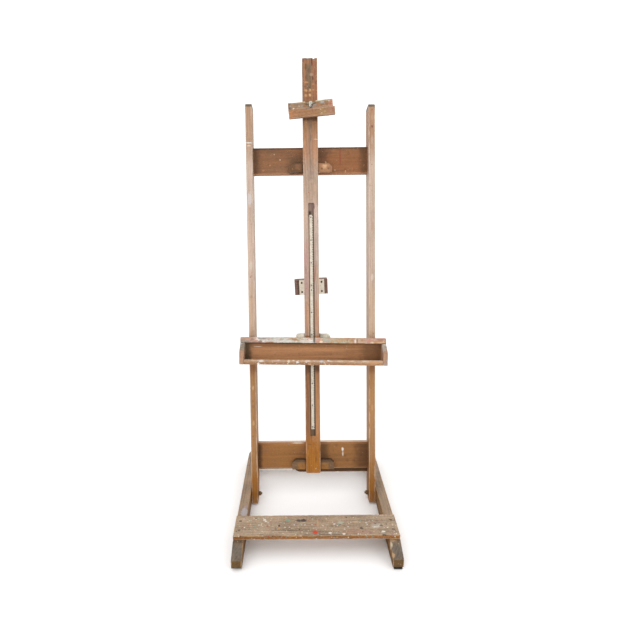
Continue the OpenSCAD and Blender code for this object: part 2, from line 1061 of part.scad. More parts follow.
module clamp_insert() {
    color(brass_col)
        on_clamp()
            difference() {
                rod_y(insert_r, clamp_front + notch_d, clamp_front + notch_d + 20, 0, 0);
                rod_y(stud_r + run, clamp_front, clamp_back, 0, 0);
            }
}

// Thumb screw with a flat spade head
module clamp_thumb_screw() {
    tip = shoe_front - gap;
    spade_t = 3.5;
    spade_y = clamp_front - gap - spade_t / 2;
    color(bright_col)
        on_clamp()
            rotate([0, 12, 0]) {
                rod_y(stud_r, clamp_front + 6, tip, 0, 0);
                rod_y(6.5, clamp_front + 5, clamp_front + 9, 0, 0);
                face_plate(spade_y - spade_t / 2, spade_t)
                    union() {
                        translate([0, 6]) circle(r = 7);
                        translate([0, -4.5]) circle(r = 5.5);
                        translate([-4.6, -5]) square([9.2, 12]);
                    }
                rod_y(4.5, spade_y, clamp_front + 6, 0, 0);
            }
}

// ---- rear strut ----

module lower_strut() {
    hw = strut_w / 2;
    ht = lower_strut_t / 2;
    color(runner_col)
        on_strut()
            difference() {
                union() {
                    block([-hw, hw], [-ht, ht], [0, block_at + block_h / 2]);
                    rod_x(ht, -hw, hw, 0, 0);
                }
                rod_x(strut_pin_r + run, -hw - 1, hw + 1, 0, 0);
                rod_y(stud_r + fit, -ht - 1, ht + 1, 0, block_at);
            }
}

module at_keeper_screws() {
    for (x = [-plate_screw_x, plate_screw_x])
        for (w = [-plate_screw_w, plate_screw_w])
            translate([plate_x + x, block_front - plate_t - 0.6, w])
                rotate([90, 0, 0]) children();
}

module strut_block() {
    color(dark_col)
        on_block()
            difference() {
                block([block_x - block_w / 2, block_x + block_w / 2],
                    [block_front, block_rear], [-block_h / 2, block_h / 2]);
                block([-channel_hw, channel_hw], [block_front - 1, channel_back],
                    [-block_h, block_h]);
                rod_y(stud_r + fit, 0, block_rear + 1, 0, 0);
                at_keeper_screws() screw_hole(keeper_screw, 36);
            }
}

module strut_keeper_plate() {
    color(steel_col)
        on_block()
            difference() {
                block([plate_x - plate_w / 2, plate_x + plate_w / 2],
                    [block_front - plate_t, block_front], [-plate_h / 2, plate_h / 2]);
                rod_y(stud_r + fit, block_front - plate_t - 1, block_front + 1, 0, 0);
                at_keeper_screws() screw_hole(keeper_screw, 36);
            }
}

module keeper_screws() {
    color(bright_col) on_block() at_keeper_screws() screw(keeper_screw, 36);
}

module strut_clamp_bolt() {
    color(bright_col)
        on_strut() {
            rod_y(9, block_front - plate_t - 4, block_front - plate_t, 0, block_at);
            rod_y(stud_r, block_front - plate_t - 1, knob_front + knob_t - 6, 0, block_at);
        }
}

module strut_clamp_knob() {
    color(dark_col)
        on_strut()
            difference() {
                translate([0, knob_front, block_at]) fluted_knob(knob_r, knob_t);
                rod_y(stud_r + run, knob_front - 1, knob_front + knob_t - 5, 0, block_at);
            }
}

module upper_strut() {
    hw = strut_w / 2;
    ht = upper_strut_t / 2;
    color(runner_col)
        on_strut()
            difference() {
                union() {
                    block([-hw, hw], [-strut_gap - ht, -strut_gap + ht],
                        [upper_strut_foot, top_eye]);
                    intersection() {
                        rod_x(eye_r, -hw, hw, -strut_gap, top_eye);
                        block([-hw, hw], [-strut_gap - ht, -strut_gap + eye_r],
                            [top_eye - eye_r, top_eye + eye_r]);
                    }
                }
                // the eye is a slot, because the pin wanders a little as the frame tilts
                for (v = [-0.2, eye_slack])
                    rod_x(strut_pin_r + gap, -hw - 1, hw + 1, v - strut_gap, top_eye);
                block([-hw - 1, hw + 1], [-0.2 - strut_gap, eye_slack - strut_gap],
                    [top_eye - strut_pin_r - gap, top_eye + strut_pin_r + gap]);
                for (w = [block_at + slot_foot, block_at + slot_top])
                    rod_y(slot_hw, -strut_gap - ht - 1, -strut_gap + ht + 1, 0, w);
                block([-slot_hw, slot_hw], [-strut_gap - ht - 1, -strut_gap + ht + 1],
                    [block_at + slot_foot, block_at + slot_top]);
            }
}

left_runner();
right_runner();
step_board();
rear_stretcher();
base_screws();
foot_pads();
pivot_bolts();
pivot_washers();
pivot_nuts();
strut_foot_bracket();
strut_foot_pin();
left_upright();
right_upright();
upper_crossbar();
lower_crossbar();
crossbar_screws();
centre_rail();
upper_left_guide();
upper_right_guide();
lower_left_guide();
lower_right_guide();
backing_plate();
frame_screws();
strut_top_bracket();
strut_top_pin();
mast_lock_insert();
mast_lock_knob();
mast();
rack_top();
rack_middle();
rack_bottom();
rack_screws();
tray_ledge();
tray_back();
tray_bottom();
tray_lip();
tray_left_end();
tray_right_end();
left_carriage_block();
right_carriage_block();
tray_screws();
pawl_pin();
pawl_spring();
rack_pawl();
clamp_shoe();
clamp_block();
clamp_jaw();
clamp_spacers();
clamp_back_bar();
clamp_screws();
clamp_insert();
clamp_thumb_screw();
lower_strut();
strut_block();
strut_keeper_plate();
keeper_screws();
strut_clamp_bolt();
strut_clamp_knob();
upper_strut();
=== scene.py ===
import json
import math
import random

import bmesh
import bpy
import numpy as np
from mathutils import Matrix, Vector, noise

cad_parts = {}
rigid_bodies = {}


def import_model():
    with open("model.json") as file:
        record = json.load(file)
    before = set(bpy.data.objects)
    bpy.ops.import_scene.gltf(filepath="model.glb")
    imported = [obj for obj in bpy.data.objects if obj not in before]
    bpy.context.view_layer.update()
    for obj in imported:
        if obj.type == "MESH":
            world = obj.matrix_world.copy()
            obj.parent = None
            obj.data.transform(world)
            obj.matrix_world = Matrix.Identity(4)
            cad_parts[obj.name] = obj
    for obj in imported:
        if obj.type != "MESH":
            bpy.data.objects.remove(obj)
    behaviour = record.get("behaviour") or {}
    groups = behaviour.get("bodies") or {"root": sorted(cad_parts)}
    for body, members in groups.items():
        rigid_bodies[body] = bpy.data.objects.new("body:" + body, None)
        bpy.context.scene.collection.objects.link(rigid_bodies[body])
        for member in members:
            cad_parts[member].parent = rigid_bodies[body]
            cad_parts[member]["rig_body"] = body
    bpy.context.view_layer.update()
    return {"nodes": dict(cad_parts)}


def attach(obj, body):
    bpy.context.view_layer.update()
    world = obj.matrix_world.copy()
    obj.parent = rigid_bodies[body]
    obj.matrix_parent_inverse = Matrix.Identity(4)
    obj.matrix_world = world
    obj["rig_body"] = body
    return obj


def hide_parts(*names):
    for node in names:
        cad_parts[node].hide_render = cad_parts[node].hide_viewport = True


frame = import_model()
NODES = frame["nodes"]

# ---- frames of reference, as in the CAD source, in metres ----


def shift(x, y, z):
    return Matrix.Translation((x, y, z))


def turn(degrees, axis):
    return Matrix.Rotation(math.radians(degrees), 4, axis)


BASE = Matrix.Identity(4)
LEANING = shift(0, 0.0316, 0.034) @ turn(-10.5, "X")
TRAY = LEANING @ shift(0, 0, 0.64) @ turn(1.15, "Y") @ shift(0, 0, -0.64)
CLAMP = LEANING @ shift(0, 0, 1.611) @ turn(-5.1, "Y")
STRUT = shift(0, 0.297, 0.044) @ turn(-2.0603, "X")
SLEEVE = STRUT @ shift(0, 0, 0.849) @ turn(-2.4, "Y")
# A board's own axes: z runs along the grain
ALONG = {
    "z": Matrix.Identity(4),
    "x": Matrix(((0, 0, 1, 0), (0, 1, 0, 0), (-1, 0, 0, 0), (0, 0, 0, 1))),
    "y": Matrix(((1, 0, 0, 0), (0, 0, 1, 0), (0, -1, 0, 0), (0, 0, 0, 1))),
}


# How much brighter than its own colour the studio lights a face that looks at the camera
LIGHT = 1.27


def rgb(r, g, b):
    """The linear albedo that shows as this 8-bit display colour under the studio's light."""
    out = []
    for v in (r, g, b):
        v /= 255
        out.append((v / 12.92 if v <= 0.04045 else ((v + 0.055) / 1.055) ** 2.4) / LIGHT)
    return (*out, 1.0)


# ---- node materials ----


class Graph:
    """Short calls for building a material's nodes."""

    def __init__(self, name):
        self.mat = bpy.data.materials.new(name)
        self.mat.use_nodes = True
        self.tree = self.mat.node_tree
        self.tree.nodes.clear()
        self.out = self.tree.nodes.new("ShaderNodeOutputMaterial")
        self.bsdf = self.tree.nodes.new("ShaderNodeBsdfPrincipled")
        self.tree.links.new(self.bsdf.outputs[0], self.out.inputs[0])
        self.co = self.node("ShaderNodeTexCoord").outputs["Object"]

    def node(self, kind, ins=(), **props):
        n = self.tree.nodes.new(kind)
        for k, v in props.items():
            setattr(n, k, v)
        for k, v in dict(ins).items():
            if isinstance(v, bpy.types.NodeSocket):
                self.tree.links.new(v, n.inputs[k])
            else:
                n.inputs[k].default_value = v
        return n

    def math(self, op, a, b=0.0, c=0.0, clamp=False):
        return self.node("ShaderNodeMath", {0: a, 1: b, 2: c}, operation=op, use_clamp=clamp).outputs[0]

    def vec(self, op, a, b=(0, 0, 0)):
        n = self.node("ShaderNodeVectorMath", {0: a, 1: b}, operation=op)
        return n.outputs["Value" if op in ("LENGTH", "DOT_PRODUCT") else "Vector"]

    def place(self, v, scale=(1, 1, 1), rot=(0, 0, 0), loc=(0, 0, 0)):
        return self.node("ShaderNodeMapping",
                         {"Vector": v, "Location": loc, "Rotation": rot, "Scale": scale}).outputs[0]

    def noise(self, v, scale=1.0, detail=3.0, rough=0.55, distort=0.0):
        return self.node("ShaderNodeTexNoise",
                         {"Vector": v, "Scale": scale, "Detail": detail, "Roughness": rough,
                                                "Distortion": distort}).outputs["Fac"]

    def cells(self, v, scale, feature="F1", random_=1.0):
        return self.node("ShaderNodeTexVoronoi", {"Vector": v, "Scale": scale, "Randomness": random_},
                         feature=feature)

    def span(self, v, a, b, lo=0.0, hi=1.0):
        """v from a..b carried smoothly to lo..hi, and held outside."""
        return self.node("ShaderNodeMapRange",
                         {"Value": v, "From Min": a, "From Max": b, "To Min": lo, "To Max": hi},
                         interpolation_type="SMOOTHSTEP").outputs["Result"]

    def mix(self, fac, a, b, blend="MIX"):
        n = self.node("ShaderNodeMix", {0: fac, 6: a, 7: b}, data_type="RGBA", blend_type=blend)
        return n.outputs[2]

    def ramp(self, v, stops, step=False):
        n = self.node("ShaderNodeValToRGB", {0: v})
        r = n.color_ramp
        r.interpolation = "CONSTANT" if step else "LINEAR"
        while len(r.elements) < len(stops):
            r.elements.new(1.0)
        for e, (at, col) in zip(r.elements, stops):
            e.position, e.color = at, col
        return n.outputs["Color"]

    def xyz(self, v):
        n = self.node("ShaderNodeSeparateXYZ", {0: v})
        return n.outputs[0], n.outputs[1], n.outputs[2]

    def finish(self, colour, rough, height=None, bump=0.4, depth=0.0006, **flat):
        self.tree.links.new(colour, self.bsdf.inputs["Base Color"])
        self.tree.links.new(rough, self.bsdf.inputs["Roughness"])
        for k, v in flat.items():
            self.bsdf.inputs[k.replace("_", " ")].default_value = v
        if height is not None:
            b = self.node("ShaderNodeBump", {"Strength": bump, "Distance": depth, "Height": height})
            self.tree.links.new(b.outputs[0], self.bsdf.inputs["Normal"])
        return self.mat


WHITE, CREAM, GREY = rgb(236, 232, 224), rgb(226, 208, 180), rgb(158, 150, 142)
BLUEGREY, TEAL, OCHRE = rgb(158, 168, 176), rgb(120, 164, 150), rgb(206, 152, 84)
RED, BLACK, MAUVE = rgb(206, 62, 40), rgb(46, 40, 38), rgb(158, 118, 128)
GREENISH, PINK, TAN = rgb(186, 192, 172), rgb(212, 158, 138), rgb(196, 160, 118)
STUDIO = [WHITE, GREY, CREAM, GREENISH, OCHRE, CREAM, MAUVE, TEAL, CREAM, BLACK, RED, WHITE]
FAINT = [rgb(200, 170, 142), rgb(120, 84, 60), rgb(176, 130, 96), rgb(150, 128, 112), rgb(158, 92, 66)]


def shades(c, depth=0.5):
    """The dark, middle and light tones of a wood from its middle one."""
    return [tuple(min(1.0, v * k) for v in c[:3]) + (1.0,) for k in (1 - depth * 0.8, 1.0, 1 + depth * 0.75)]


def palette(g, v, colours):
    return g.ramp(v, [(i / len(colours), c) for i, c in enumerate(colours)], step=True)


def toned(g, tone, colour, depth=0.5):
    return g.ramp(tone, list(zip((0.24, 0.50, 0.78), shades(colour, depth))))


def drops(g, p, scale, size, share, colours, warp=0.25):
    """Round splashes of paint: their mask and their colours."""
    wob = g.node("ShaderNodeTexNoise", {"Vector": p, "Scale": scale * 2.6, "Detail": 1.0}).outputs["Color"]
    q = g.vec("ADD", p, g.vec("MULTIPLY", g.vec("SUBTRACT", wob, (0.5, 0.5, 0.5)), (warp / scale,) * 3))
    c = g.cells(q, scale)
    r, gg, b = g.xyz(c.outputs["Color"])
    radius = g.math("MULTIPLY", g.math("MULTIPLY", gg, gg), size)
    inside = g.math("LESS_THAN", c.outputs["Distance"], radius)
    kept = g.math("LESS_THAN", r, share)
    return g.math("MULTIPLY", inside, kept), palette(g, b, colours)


def spot(g, p, at, size, ragged=1.0):
    """One mark at a place in the board's own axes, size being its half-widths."""
    q = g.vec("MULTIPLY", g.vec("SUBTRACT", p, at), tuple(1 / s for s in size))
    edge = g.noise(p, 1.4 / sorted(size)[1], 4.0, 0.8)
    d = g.math("ADD", g.vec("LENGTH", q), g.math("MULTIPLY", g.math("SUBTRACT", edge, 0.5), ragged * 2))
    return g.span(d, 1.15, 0.6)


def inside(g, axes, ranges, soft):
    """Mask of a box in the board's own axes, soft at its faces."""
    m = None
    for v, r in zip(axes, ranges):
        if r:
            s = g.math("MULTIPLY", g.span(v, r[0] - soft, r[0] + soft), g.span(v, r[1] + soft, r[1] - soft))
            m = s if m is None else g.math("MULTIPLY", m, s)
    return m


def wood(name, half, seed, mid, depth=0.5, zones=(), marks=(), worn=None, wear=0.5, wear_w=0.004,
         grey=None, splash=0.1, flecks=STUDIO, smear=0.0, smear_colours=(), in_order=0.0, rings=0.006,
         heart=(0.05, 0.09), grain=1.0, gloss=0.55, dirt=0.4, top=None, top_zones=(), mottle=0.5):
    """Old wood. half is the board's half-size, z along the grain.

    zones are (ranges, soft, colour, amount) boxes of another tone, and marks are
    (place, half-widths, colour, amount) spots."""
    g = Graph(name)
    rnd = random.Random(seed)
    off = tuple(rnd.uniform(-9, 9) for _ in range(3))
    p = g.vec("ADD", g.co, off)
    px, py, pz = g.xyz(g.co)
    # growth rings round a heart outside the board, bent slowly along it
    bend = g.noise(g.place(p, (9, 9, 1.4)), 1.0, 2.0)
    bent = g.math("MULTIPLY", g.math("SUBTRACT", bend, 0.5), 0.05)
    flat = g.node("ShaderNodeCombineXYZ", {
        0: g.math("ADD", g.math("ADD", px, heart[0]), bent),
        1: g.math("ADD", g.math("ADD", py, heart[1]), g.math("MULTIPLY", pz, 0.012)), 2: 0.0}).outputs[0]
    turns = g.math("DIVIDE", g.vec("LENGTH", flat), rings)
    fine = g.noise(g.place(p, (260, 260, 7)), 1.0, 5.0, 0.62)
    ring = g.math("FRACT", g.math("ADD", turns, g.math("MULTIPLY", fine, 0.35)))
    ring = g.math("MULTIPLY", g.math("POWER", ring, 1.6), g.span(ring, 1.0, 0.9))
    pores = g.span(g.noise(g.place(p, (900, 900, 26)), 1.0, 2.0, 0.6), 0.60, 0.74)
    blotch = g.noise(g.place(p, (24, 24, 7)), 1.0, 5.0, 0.62)
    streak = g.noise(g.place(p, (90, 90, 3.5)), 1.0, 4.0, 0.6)
    slow = g.noise(g.place(p, (7, 7, 2.2)), 1.0, 2.0, 0.5)
    tone = g.math("MULTIPLY", g.math("SUBTRACT", fine, 0.5), 0.62 * grain)
    tone = g.math("ADD", tone, g.math("MULTIPLY", g.math("SUBTRACT", 0.34, ring), 0.24 * grain))
    tone = g.math("ADD", tone, g.math("MULTIPLY", g.math("SUBTRACT", streak, 0.5), 0.55))
    tone = g.math("ADD", tone, g.math("MULTIPLY", g.math("SUBTRACT", slow, 0.5), 0.45))
    speck = g.noise(g.place(p, (210, 210, 120)), 1.0, 4.0, 0.75)
    tone = g.math("ADD", tone, g.math("MULTIPLY", g.math("SUBTRACT", speck, 0.5), mottle))
    tone = g.math("ADD", tone, 0.51)
    col = toned(g, tone, mid, depth)
    if grey:
        col = g.mix(g.math("MULTIPLY", g.span(blotch, 0.45, 0.72), grey[1]), col,
                    toned(g, tone, grey[0], depth))
    shaken = g.math("MULTIPLY", g.math("SUBTRACT", g.noise(p, 60.0, 3.0, 0.6), 0.5), 2.0)
    for ranges, soft, colour, amount in zones:
        axes = [g.math("ADD", v, g.math("MULTIPLY", shaken, soft * 0.8)) for v in (px, py, pz)]
        col = g.mix(g.math("MULTIPLY", inside(g, axes, ranges, soft), amount), col,
                    toned(g, tone, colour, depth))
    if top:
        # faces that look up at rest carry dust, dried paint and the rub of feet
        up = g.vec("DOT_PRODUCT", g.node("ShaderNodeTexCoord").outputs["Normal"], top[2])
        dusty = g.math("ADD", g.math("MULTIPLY", blotch, 1.1),
                       g.math("SUBTRACT", g.math("MULTIPLY", tone, 0.9), 0.5))
        over = toned(g, dusty, top[0], 0.5)
        for ranges, soft, colour, amount in top_zones:
            over = g.mix(g.math("MULTIPLY", inside(g, (px, py, pz), ranges, soft), amount), over,
                         toned(g, dusty, colour, 0.5))
        col = g.mix(g.math("MULTIPLY", g.span(up, 0.45, 0.8), top[1]), col, over)
    col = g.mix(g.math("MULTIPLY", pores, 0.35 * grain), col,
                g.mix(1.0, col, (0.36, 0.29, 0.24, 1), "MULTIPLY"))
    # grime in slow patches and fine soot along the grain
    soot = g.math("MULTIPLY", g.span(g.noise(g.place(p, (38, 38, 3)), 1.0, 4.0, 0.7), 0.54, 0.78), dirt)
    col = g.mix(soot, col, g.mix(1.0, col, (0.45, 0.39, 0.34, 1), "MULTIPLY"))
    # wear along the edges
    ex, ey, ez = (g.math("SUBTRACT", h, g.math("ABSOLUTE", v)) for h, v in zip(half, (px, py, pz)))
    edge = g.math("MINIMUM", g.math("MINIMUM", g.math("MAXIMUM", ex, ey), g.math("MAXIMUM", ey, ez)),
                  g.math("MAXIMUM", ex, ez))
    rub = g.noise(g.place(p, (55, 55, 22)), 1.0, 5.0, 0.7)
    reach = g.math("MULTIPLY", g.span(rub, 0.30, 0.72), wear_w * 1.6)
    bare = g.math("MULTIPLY", g.span(g.math("DIVIDE", edge, g.math("ADD", reach, 0.0008)), 1.0, 0.35), wear)
    if worn:
        col = g.mix(bare, col, toned(g, tone, worn, 0.35))
    # dents and scratches
    scr = g.cells(g.place(p, (34, 34, 5), (0.5, 0.35, 0.25)), 1.0, "DISTANCE_TO_EDGE").outputs["Distance"]
    scr = g.math("MULTIPLY", g.span(scr, 0.022, 0.0), g.span(g.noise(p, 13.0, 2.0), 0.54, 0.66))
    dent, _ = drops(g, p, 46.0, 0.34, 0.16, [BLACK, BLACK])
    col = g.mix(g.math("MULTIPLY", scr, 0.32), col, g.mix(1.0, col, (0.38, 0.31, 0.27, 1), "MULTIPLY"))
    col = g.mix(g.math("MULTIPLY", dent, 0.26), col, g.mix(1.0, col, (0.35, 0.29, 0.25, 1), "MULTIPLY"))
    raised = 0.0
    if smear:
        layer = g.noise(g.place(p, (34, 34, 13)), 1.0, 5.0, 0.68, 0.6)
        cover = g.math("MULTIPLY", g.span(layer, 0.62 - 0.24 * smear, 0.68 - 0.22 * smear),
                       g.span(g.noise(g.place(p, (420, 420, 60)), 1.0, 3.0, 0.7), 0.30, 0.48))
        # the paint's colours wander, or run in their order along the board
        wander = g.noise(g.place(p, (22, 22, 9), loc=(3, 1, 7)), 1.0, 4.0, 0.7, 0.8)
        spread = g.math("MULTIPLY", g.math("SUBTRACT", wander, 0.5), 2.2 - 1.7 * in_order)
        along = g.math("ADD", g.math("MULTIPLY", g.math("DIVIDE", pz, half[2] * 2), in_order), 0.5)
        which = g.math("ADD", along, spread, clamp=True)
        n = len(smear_colours)
        shade = g.ramp(which, [((i + 0.5) / n, c) for i, c in enumerate(smear_colours)])
        worked = g.noise(g.place(p, (150, 150, 40)), 1.0, 4.0, 0.7)
        shade = g.mix(g.span(worked, 0.52, 0.68), shade, g.mix(1.0, shade, (0.66, 0.62, 0.60, 1), "MULTIPLY"))
        col = g.mix(g.math("MULTIPLY", cover, 0.94), col, shade)
        raised = g.math("ADD", raised, cover)
    if splash:
        for scale, size, share in ((330.0, 0.50, 0.30), (150.0, 0.48, 0.26), (60.0, 0.34, 0.12)):
            m, c = drops(g, p, scale, size, share * splash * 2.4, flecks)
            col = g.mix(g.math("MULTIPLY", m, 0.9), col, c)
            raised = g.math("ADD", raised, m)
    for at, size, c, amount in marks:
        m = g.math("MULTIPLY", spot(g, g.co, at, size), amount)
        col = g.mix(m, col, c)
        raised = g.math("ADD", raised, g.math("MULTIPLY", m, 0.4))
    rough = g.math("ADD", g.math("MULTIPLY", fine, 0.22), gloss)
    rough = g.math("SUBTRACT", rough, g.math("MULTIPLY", g.math("MINIMUM", raised, 1.0), 0.14), clamp=True)
    height = g.math("ADD", g.math("MULTIPLY", fine, 0.5), g.math("MULTIPLY", ring, -0.18))
    height = g.math("SUBTRACT", height, g.math("MULTIPLY", pores, 0.35))
    height = g.math("SUBTRACT", height,
                    g.math("ADD", g.math("MULTIPLY", scr, 0.7), g.math("MULTIPLY", dent, 0.9)))
    height = g.math("ADD", height, g.math("MULTIPLY", raised, 0.55))
    return g.finish(col, rough, height, 0.55, 0.0007, Specular_IOR_Level=0.32)


def steel(name, base, tarnish, rust, amount=0.4, rough=0.4, metal=0.9, chips=None, scale=1.0, bump=0.3):
    """Old steel: cloudy tarnish, rust in patches and fine brushing; chips shows metal through paint."""
    g = Graph(name)
    p = g.vec("ADD", g.co, (3.1, 5.7, 1.3))
    cloud = g.noise(p, 60 * scale, 5.0, 0.65)
    fine = g.noise(g.place(p, (900, 900, 160)), scale, 3.0, 0.6)
    col = g.mix(g.span(cloud, 0.38, 0.68), base, tarnish)
    spots = g.noise(p, 170 * scale, 5.0, 0.7)
    rusty = g.math("MULTIPLY", g.span(spots, 0.66 - 0.22 * amount, 0.74 - 0.16 * amount),
                   min(1.0, 0.5 + amount))
    col = g.mix(rusty, col, g.mix(g.noise(p, 500, 2.0), rust,
                                  g.mix(1.0, rust, (0.4, 0.35, 0.3, 1), "MULTIPLY")))
    if chips:
        c, cc = drops(g, p, 260.0, 0.5, 0.35, [chips, chips])
        col = g.mix(c, col, cc)
    col = g.mix(g.math("MULTIPLY", g.span(fine, 0.35, 0.7), 0.22), col,
                g.mix(1.0, col, (0.55, 0.53, 0.5, 1), "MULTIPLY"))
    r = g.math("ADD", g.math("MULTIPLY", g.math("ADD", rusty, fine), 0.24), rough - 0.1, clamp=True)
    h = g.math("ADD", g.math("MULTIPLY", fine, 0.3), g.math("MULTIPLY", rusty, 0.8))
    return g.finish(col, r, h, bump, 0.0003, Metallic=metal)


def rubber(name):
    g = Graph(name)
    p = g.co
    dust = g.span(g.noise(p, 70, 5.0, 0.65), 0.42, 0.75)
    col = g.mix(g.math("MULTIPLY", dust, 0.4), rgb(30, 29, 29), rgb(112, 104, 96))
    grain = g.noise(p, 1500, 2.0)
    return g.finish(col, g.math("ADD", g.math("MULTIPLY", dust, 0.2), 0.62), grain, 0.3, 0.0003)


def lacquer(name, deep, rubbed, bare):
    """Dark lacquered turned wood, rubbed through in patches."""
    g = Graph(name)
    p = g.vec("ADD", g.co, (1.7, 2.9, 4.1))
    fine = g.noise(g.place(p, (500, 60, 500)), 1.0, 4.0, 0.6)
    worn = g.span(g.noise(p, 120, 5.0, 0.7), 0.5, 0.66)
    col = g.mix(fine, deep, rubbed)
    col = g.mix(g.math("MULTIPLY", worn, 0.45), col, bare)
    m, c = drops(g, p, 240.0, 0.5, 0.2, STUDIO)
    col = g.mix(m, col, c)
    return g.finish(col, g.math("ADD", g.math("MULTIPLY", worn, 0.25), 0.26),
                    g.math("ADD", g.math("MULTIPLY", fine, 0.3), m),
                    0.3, 0.0004, Coat_Weight=0.35, Coat_Roughness=0.2)


# ---- meshes ----


def clean_copy(node, matrix):
    """The CAD node's mesh as one closed bmesh of flat faces, in its own axes about its middle.

    Known fault: left_runner and upper_right_guide come out of this with less volume than they had,
    and other boards may too."""
    bm = bmesh.new()
    bm.from_mesh(NODES[node].data)
    bmesh.ops.remove_doubles(bm, verts=bm.verts, dist=2e-6)
    bm.transform(matrix.inverted())
    co = np.array([v.co for v in bm.verts])
    lo, hi = co.min(0), co.max(0)
    middle = (lo + hi) / 2
    bm.transform(Matrix.Translation(-Vector(middle)))
    bmesh.ops.dissolve_limit(bm, angle_limit=math.radians(0.7), verts=bm.verts, edges=bm.edges)
    bm.normal_update()
    return bm, matrix @ Matrix.Translation(middle), (hi - lo) / 2


def place(bm, name, node, matrix, mats, sharp=42):
    """Makes the piece that stands for a CAD node and hangs it on that node's body."""
    for f in bm.faces:
        f.smooth = True
    for e in bm.edges:
        e.smooth = not (len(e.link_faces) == 2 and e.calc_face_angle(0) > math.radians(sharp))
    me = bpy.data.meshes.new(name)
    bm.to_mesh(me)
    bm.free()
    for m in mats:
        me.materials.append(m)
    o = bpy.data.objects.new(name, me)
    bpy.context.scene.collection.objects.link(o)
    o.matrix_world = matrix
    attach(o, NODES[node]["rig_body"])
    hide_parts(node)
    return o


def soften(bm, width, segments=2, angle=28, longer=0.004):
    edges = [e for e in bm.edges if len(e.link_faces) == 2 and e.calc_length() > longer
             and e.calc_face_angle(0) > math.radians(angle)]
    if edges:
        bmesh.ops.bevel(bm, geom=edges, offset=width, segments=segments, profile=0.6, affect="EDGES",
                        clamp_overlap=True)


def slice_at(bm, at, axis, where=None):
    no = [0, 0, 0]
    no[axis] = 1
    co = [0, 0, 0]
    co[axis] = at
    faces = [f for f in bm.faces if where is None or where(f)]
    edges = {e for f in faces for e in f.edges}
    verts = {v for f in faces for v in f.verts}
    bmesh.ops.bisect_plane(bm, geom=list(verts) + list(edges) + faces, dist=1e-6, plane_co=co, plane_no=no)


def board(node, matrix, along, material, step=0.012, round_=0.0014, chip=1.0, shape=None, seed=None,
          extra=None, **look):
    """A worn board in place of a CAD board: rounded, rubbed and nicked edges on a fine mesh."""
    seed = seed if seed is not None else sum(map(ord, node))
    bm, m, half = clean_copy(node, matrix @ ALONG[along])
    soften(bm, min(round_, min(half) * 0.3))
    rnd = random.Random(seed)
    for axis in (0, 1):
        for d in (0.003, 0.008):
            if half[axis] > d * 1.6:
                for s in (-1, 1):
                    slice_at(bm, s * (half[axis] - d), axis)
    for d in (0.002, 0.005):
        if half[2] > d * 2:
            for s in (-1, 1):
                slice_at(bm, s * (half[2] - d), 2)
    z = -half[2] + step
    while z < half[2] - step * 0.6:
        slice_at(bm, z + rnd.uniform(-0.25, 0.25) * step, 2)
        z += step
    if extra:
        extra(bm, half)
    bm.normal_update()
    off = Vector((seed % 17, seed % 23, seed % 29))
    moved = []
    for v in bm.verts:
        p = v.co
        gaps = sorted(h - abs(c) for h, c in zip(half, p))
        e = gaps[1]
        depth = 0.00012 * (1 + noise.noise(p * 14 + off))
        if e < 0.007:
            near = (1 - e / 0.007) ** 2
            rub = max(0.0, noise.noise(p * 26 + off) + 0.25)
            nick = max(0.0, noise.noise(p * 95 + off * 3) - 0.22) * max(0.0, noise.noise(p * 21 - off) + 0.35)
            depth += near * chip * (0.0007 * rub + 0.0068 * nick)
        moved.append(p - v.normal * min(depth, 0.0032))
    for v, p in zip(bm.verts, moved):
        v.co = p
    if shape:
        shape(bm, half)
    mat = material(node + "_wood", tuple(float(h) for h in half), seed, m, matrix, **look)
    return place(bm, node + "_worn", node, m, [mat])


def lathe(bm, rows, count=32, matrix=Matrix.Identity(4), cap=True, mat=0):
    """A turned form from rows of (radius, height)."""
    rings = []
    for r, z in rows:
        rings.append([bm.verts.new(matrix @ Vector((r * math.cos(a), r * math.sin(a), z)))
                      for a in (2 * math.pi * i / count for i in range(count))])
    faces = []
    for a, b in zip(rings, rings[1:]):
        for i in range(count):
            faces.append(bm.faces.new((a[i], a[(i + 1) % count], b[(i + 1) % count], b[i])))
    if cap:
        faces.append(bm.faces.new(list(reversed(rings[0]))))
        faces.append(bm.faces.new(rings[-1]))
    for f in faces:
        f.material_index = mat
    return rings, faces


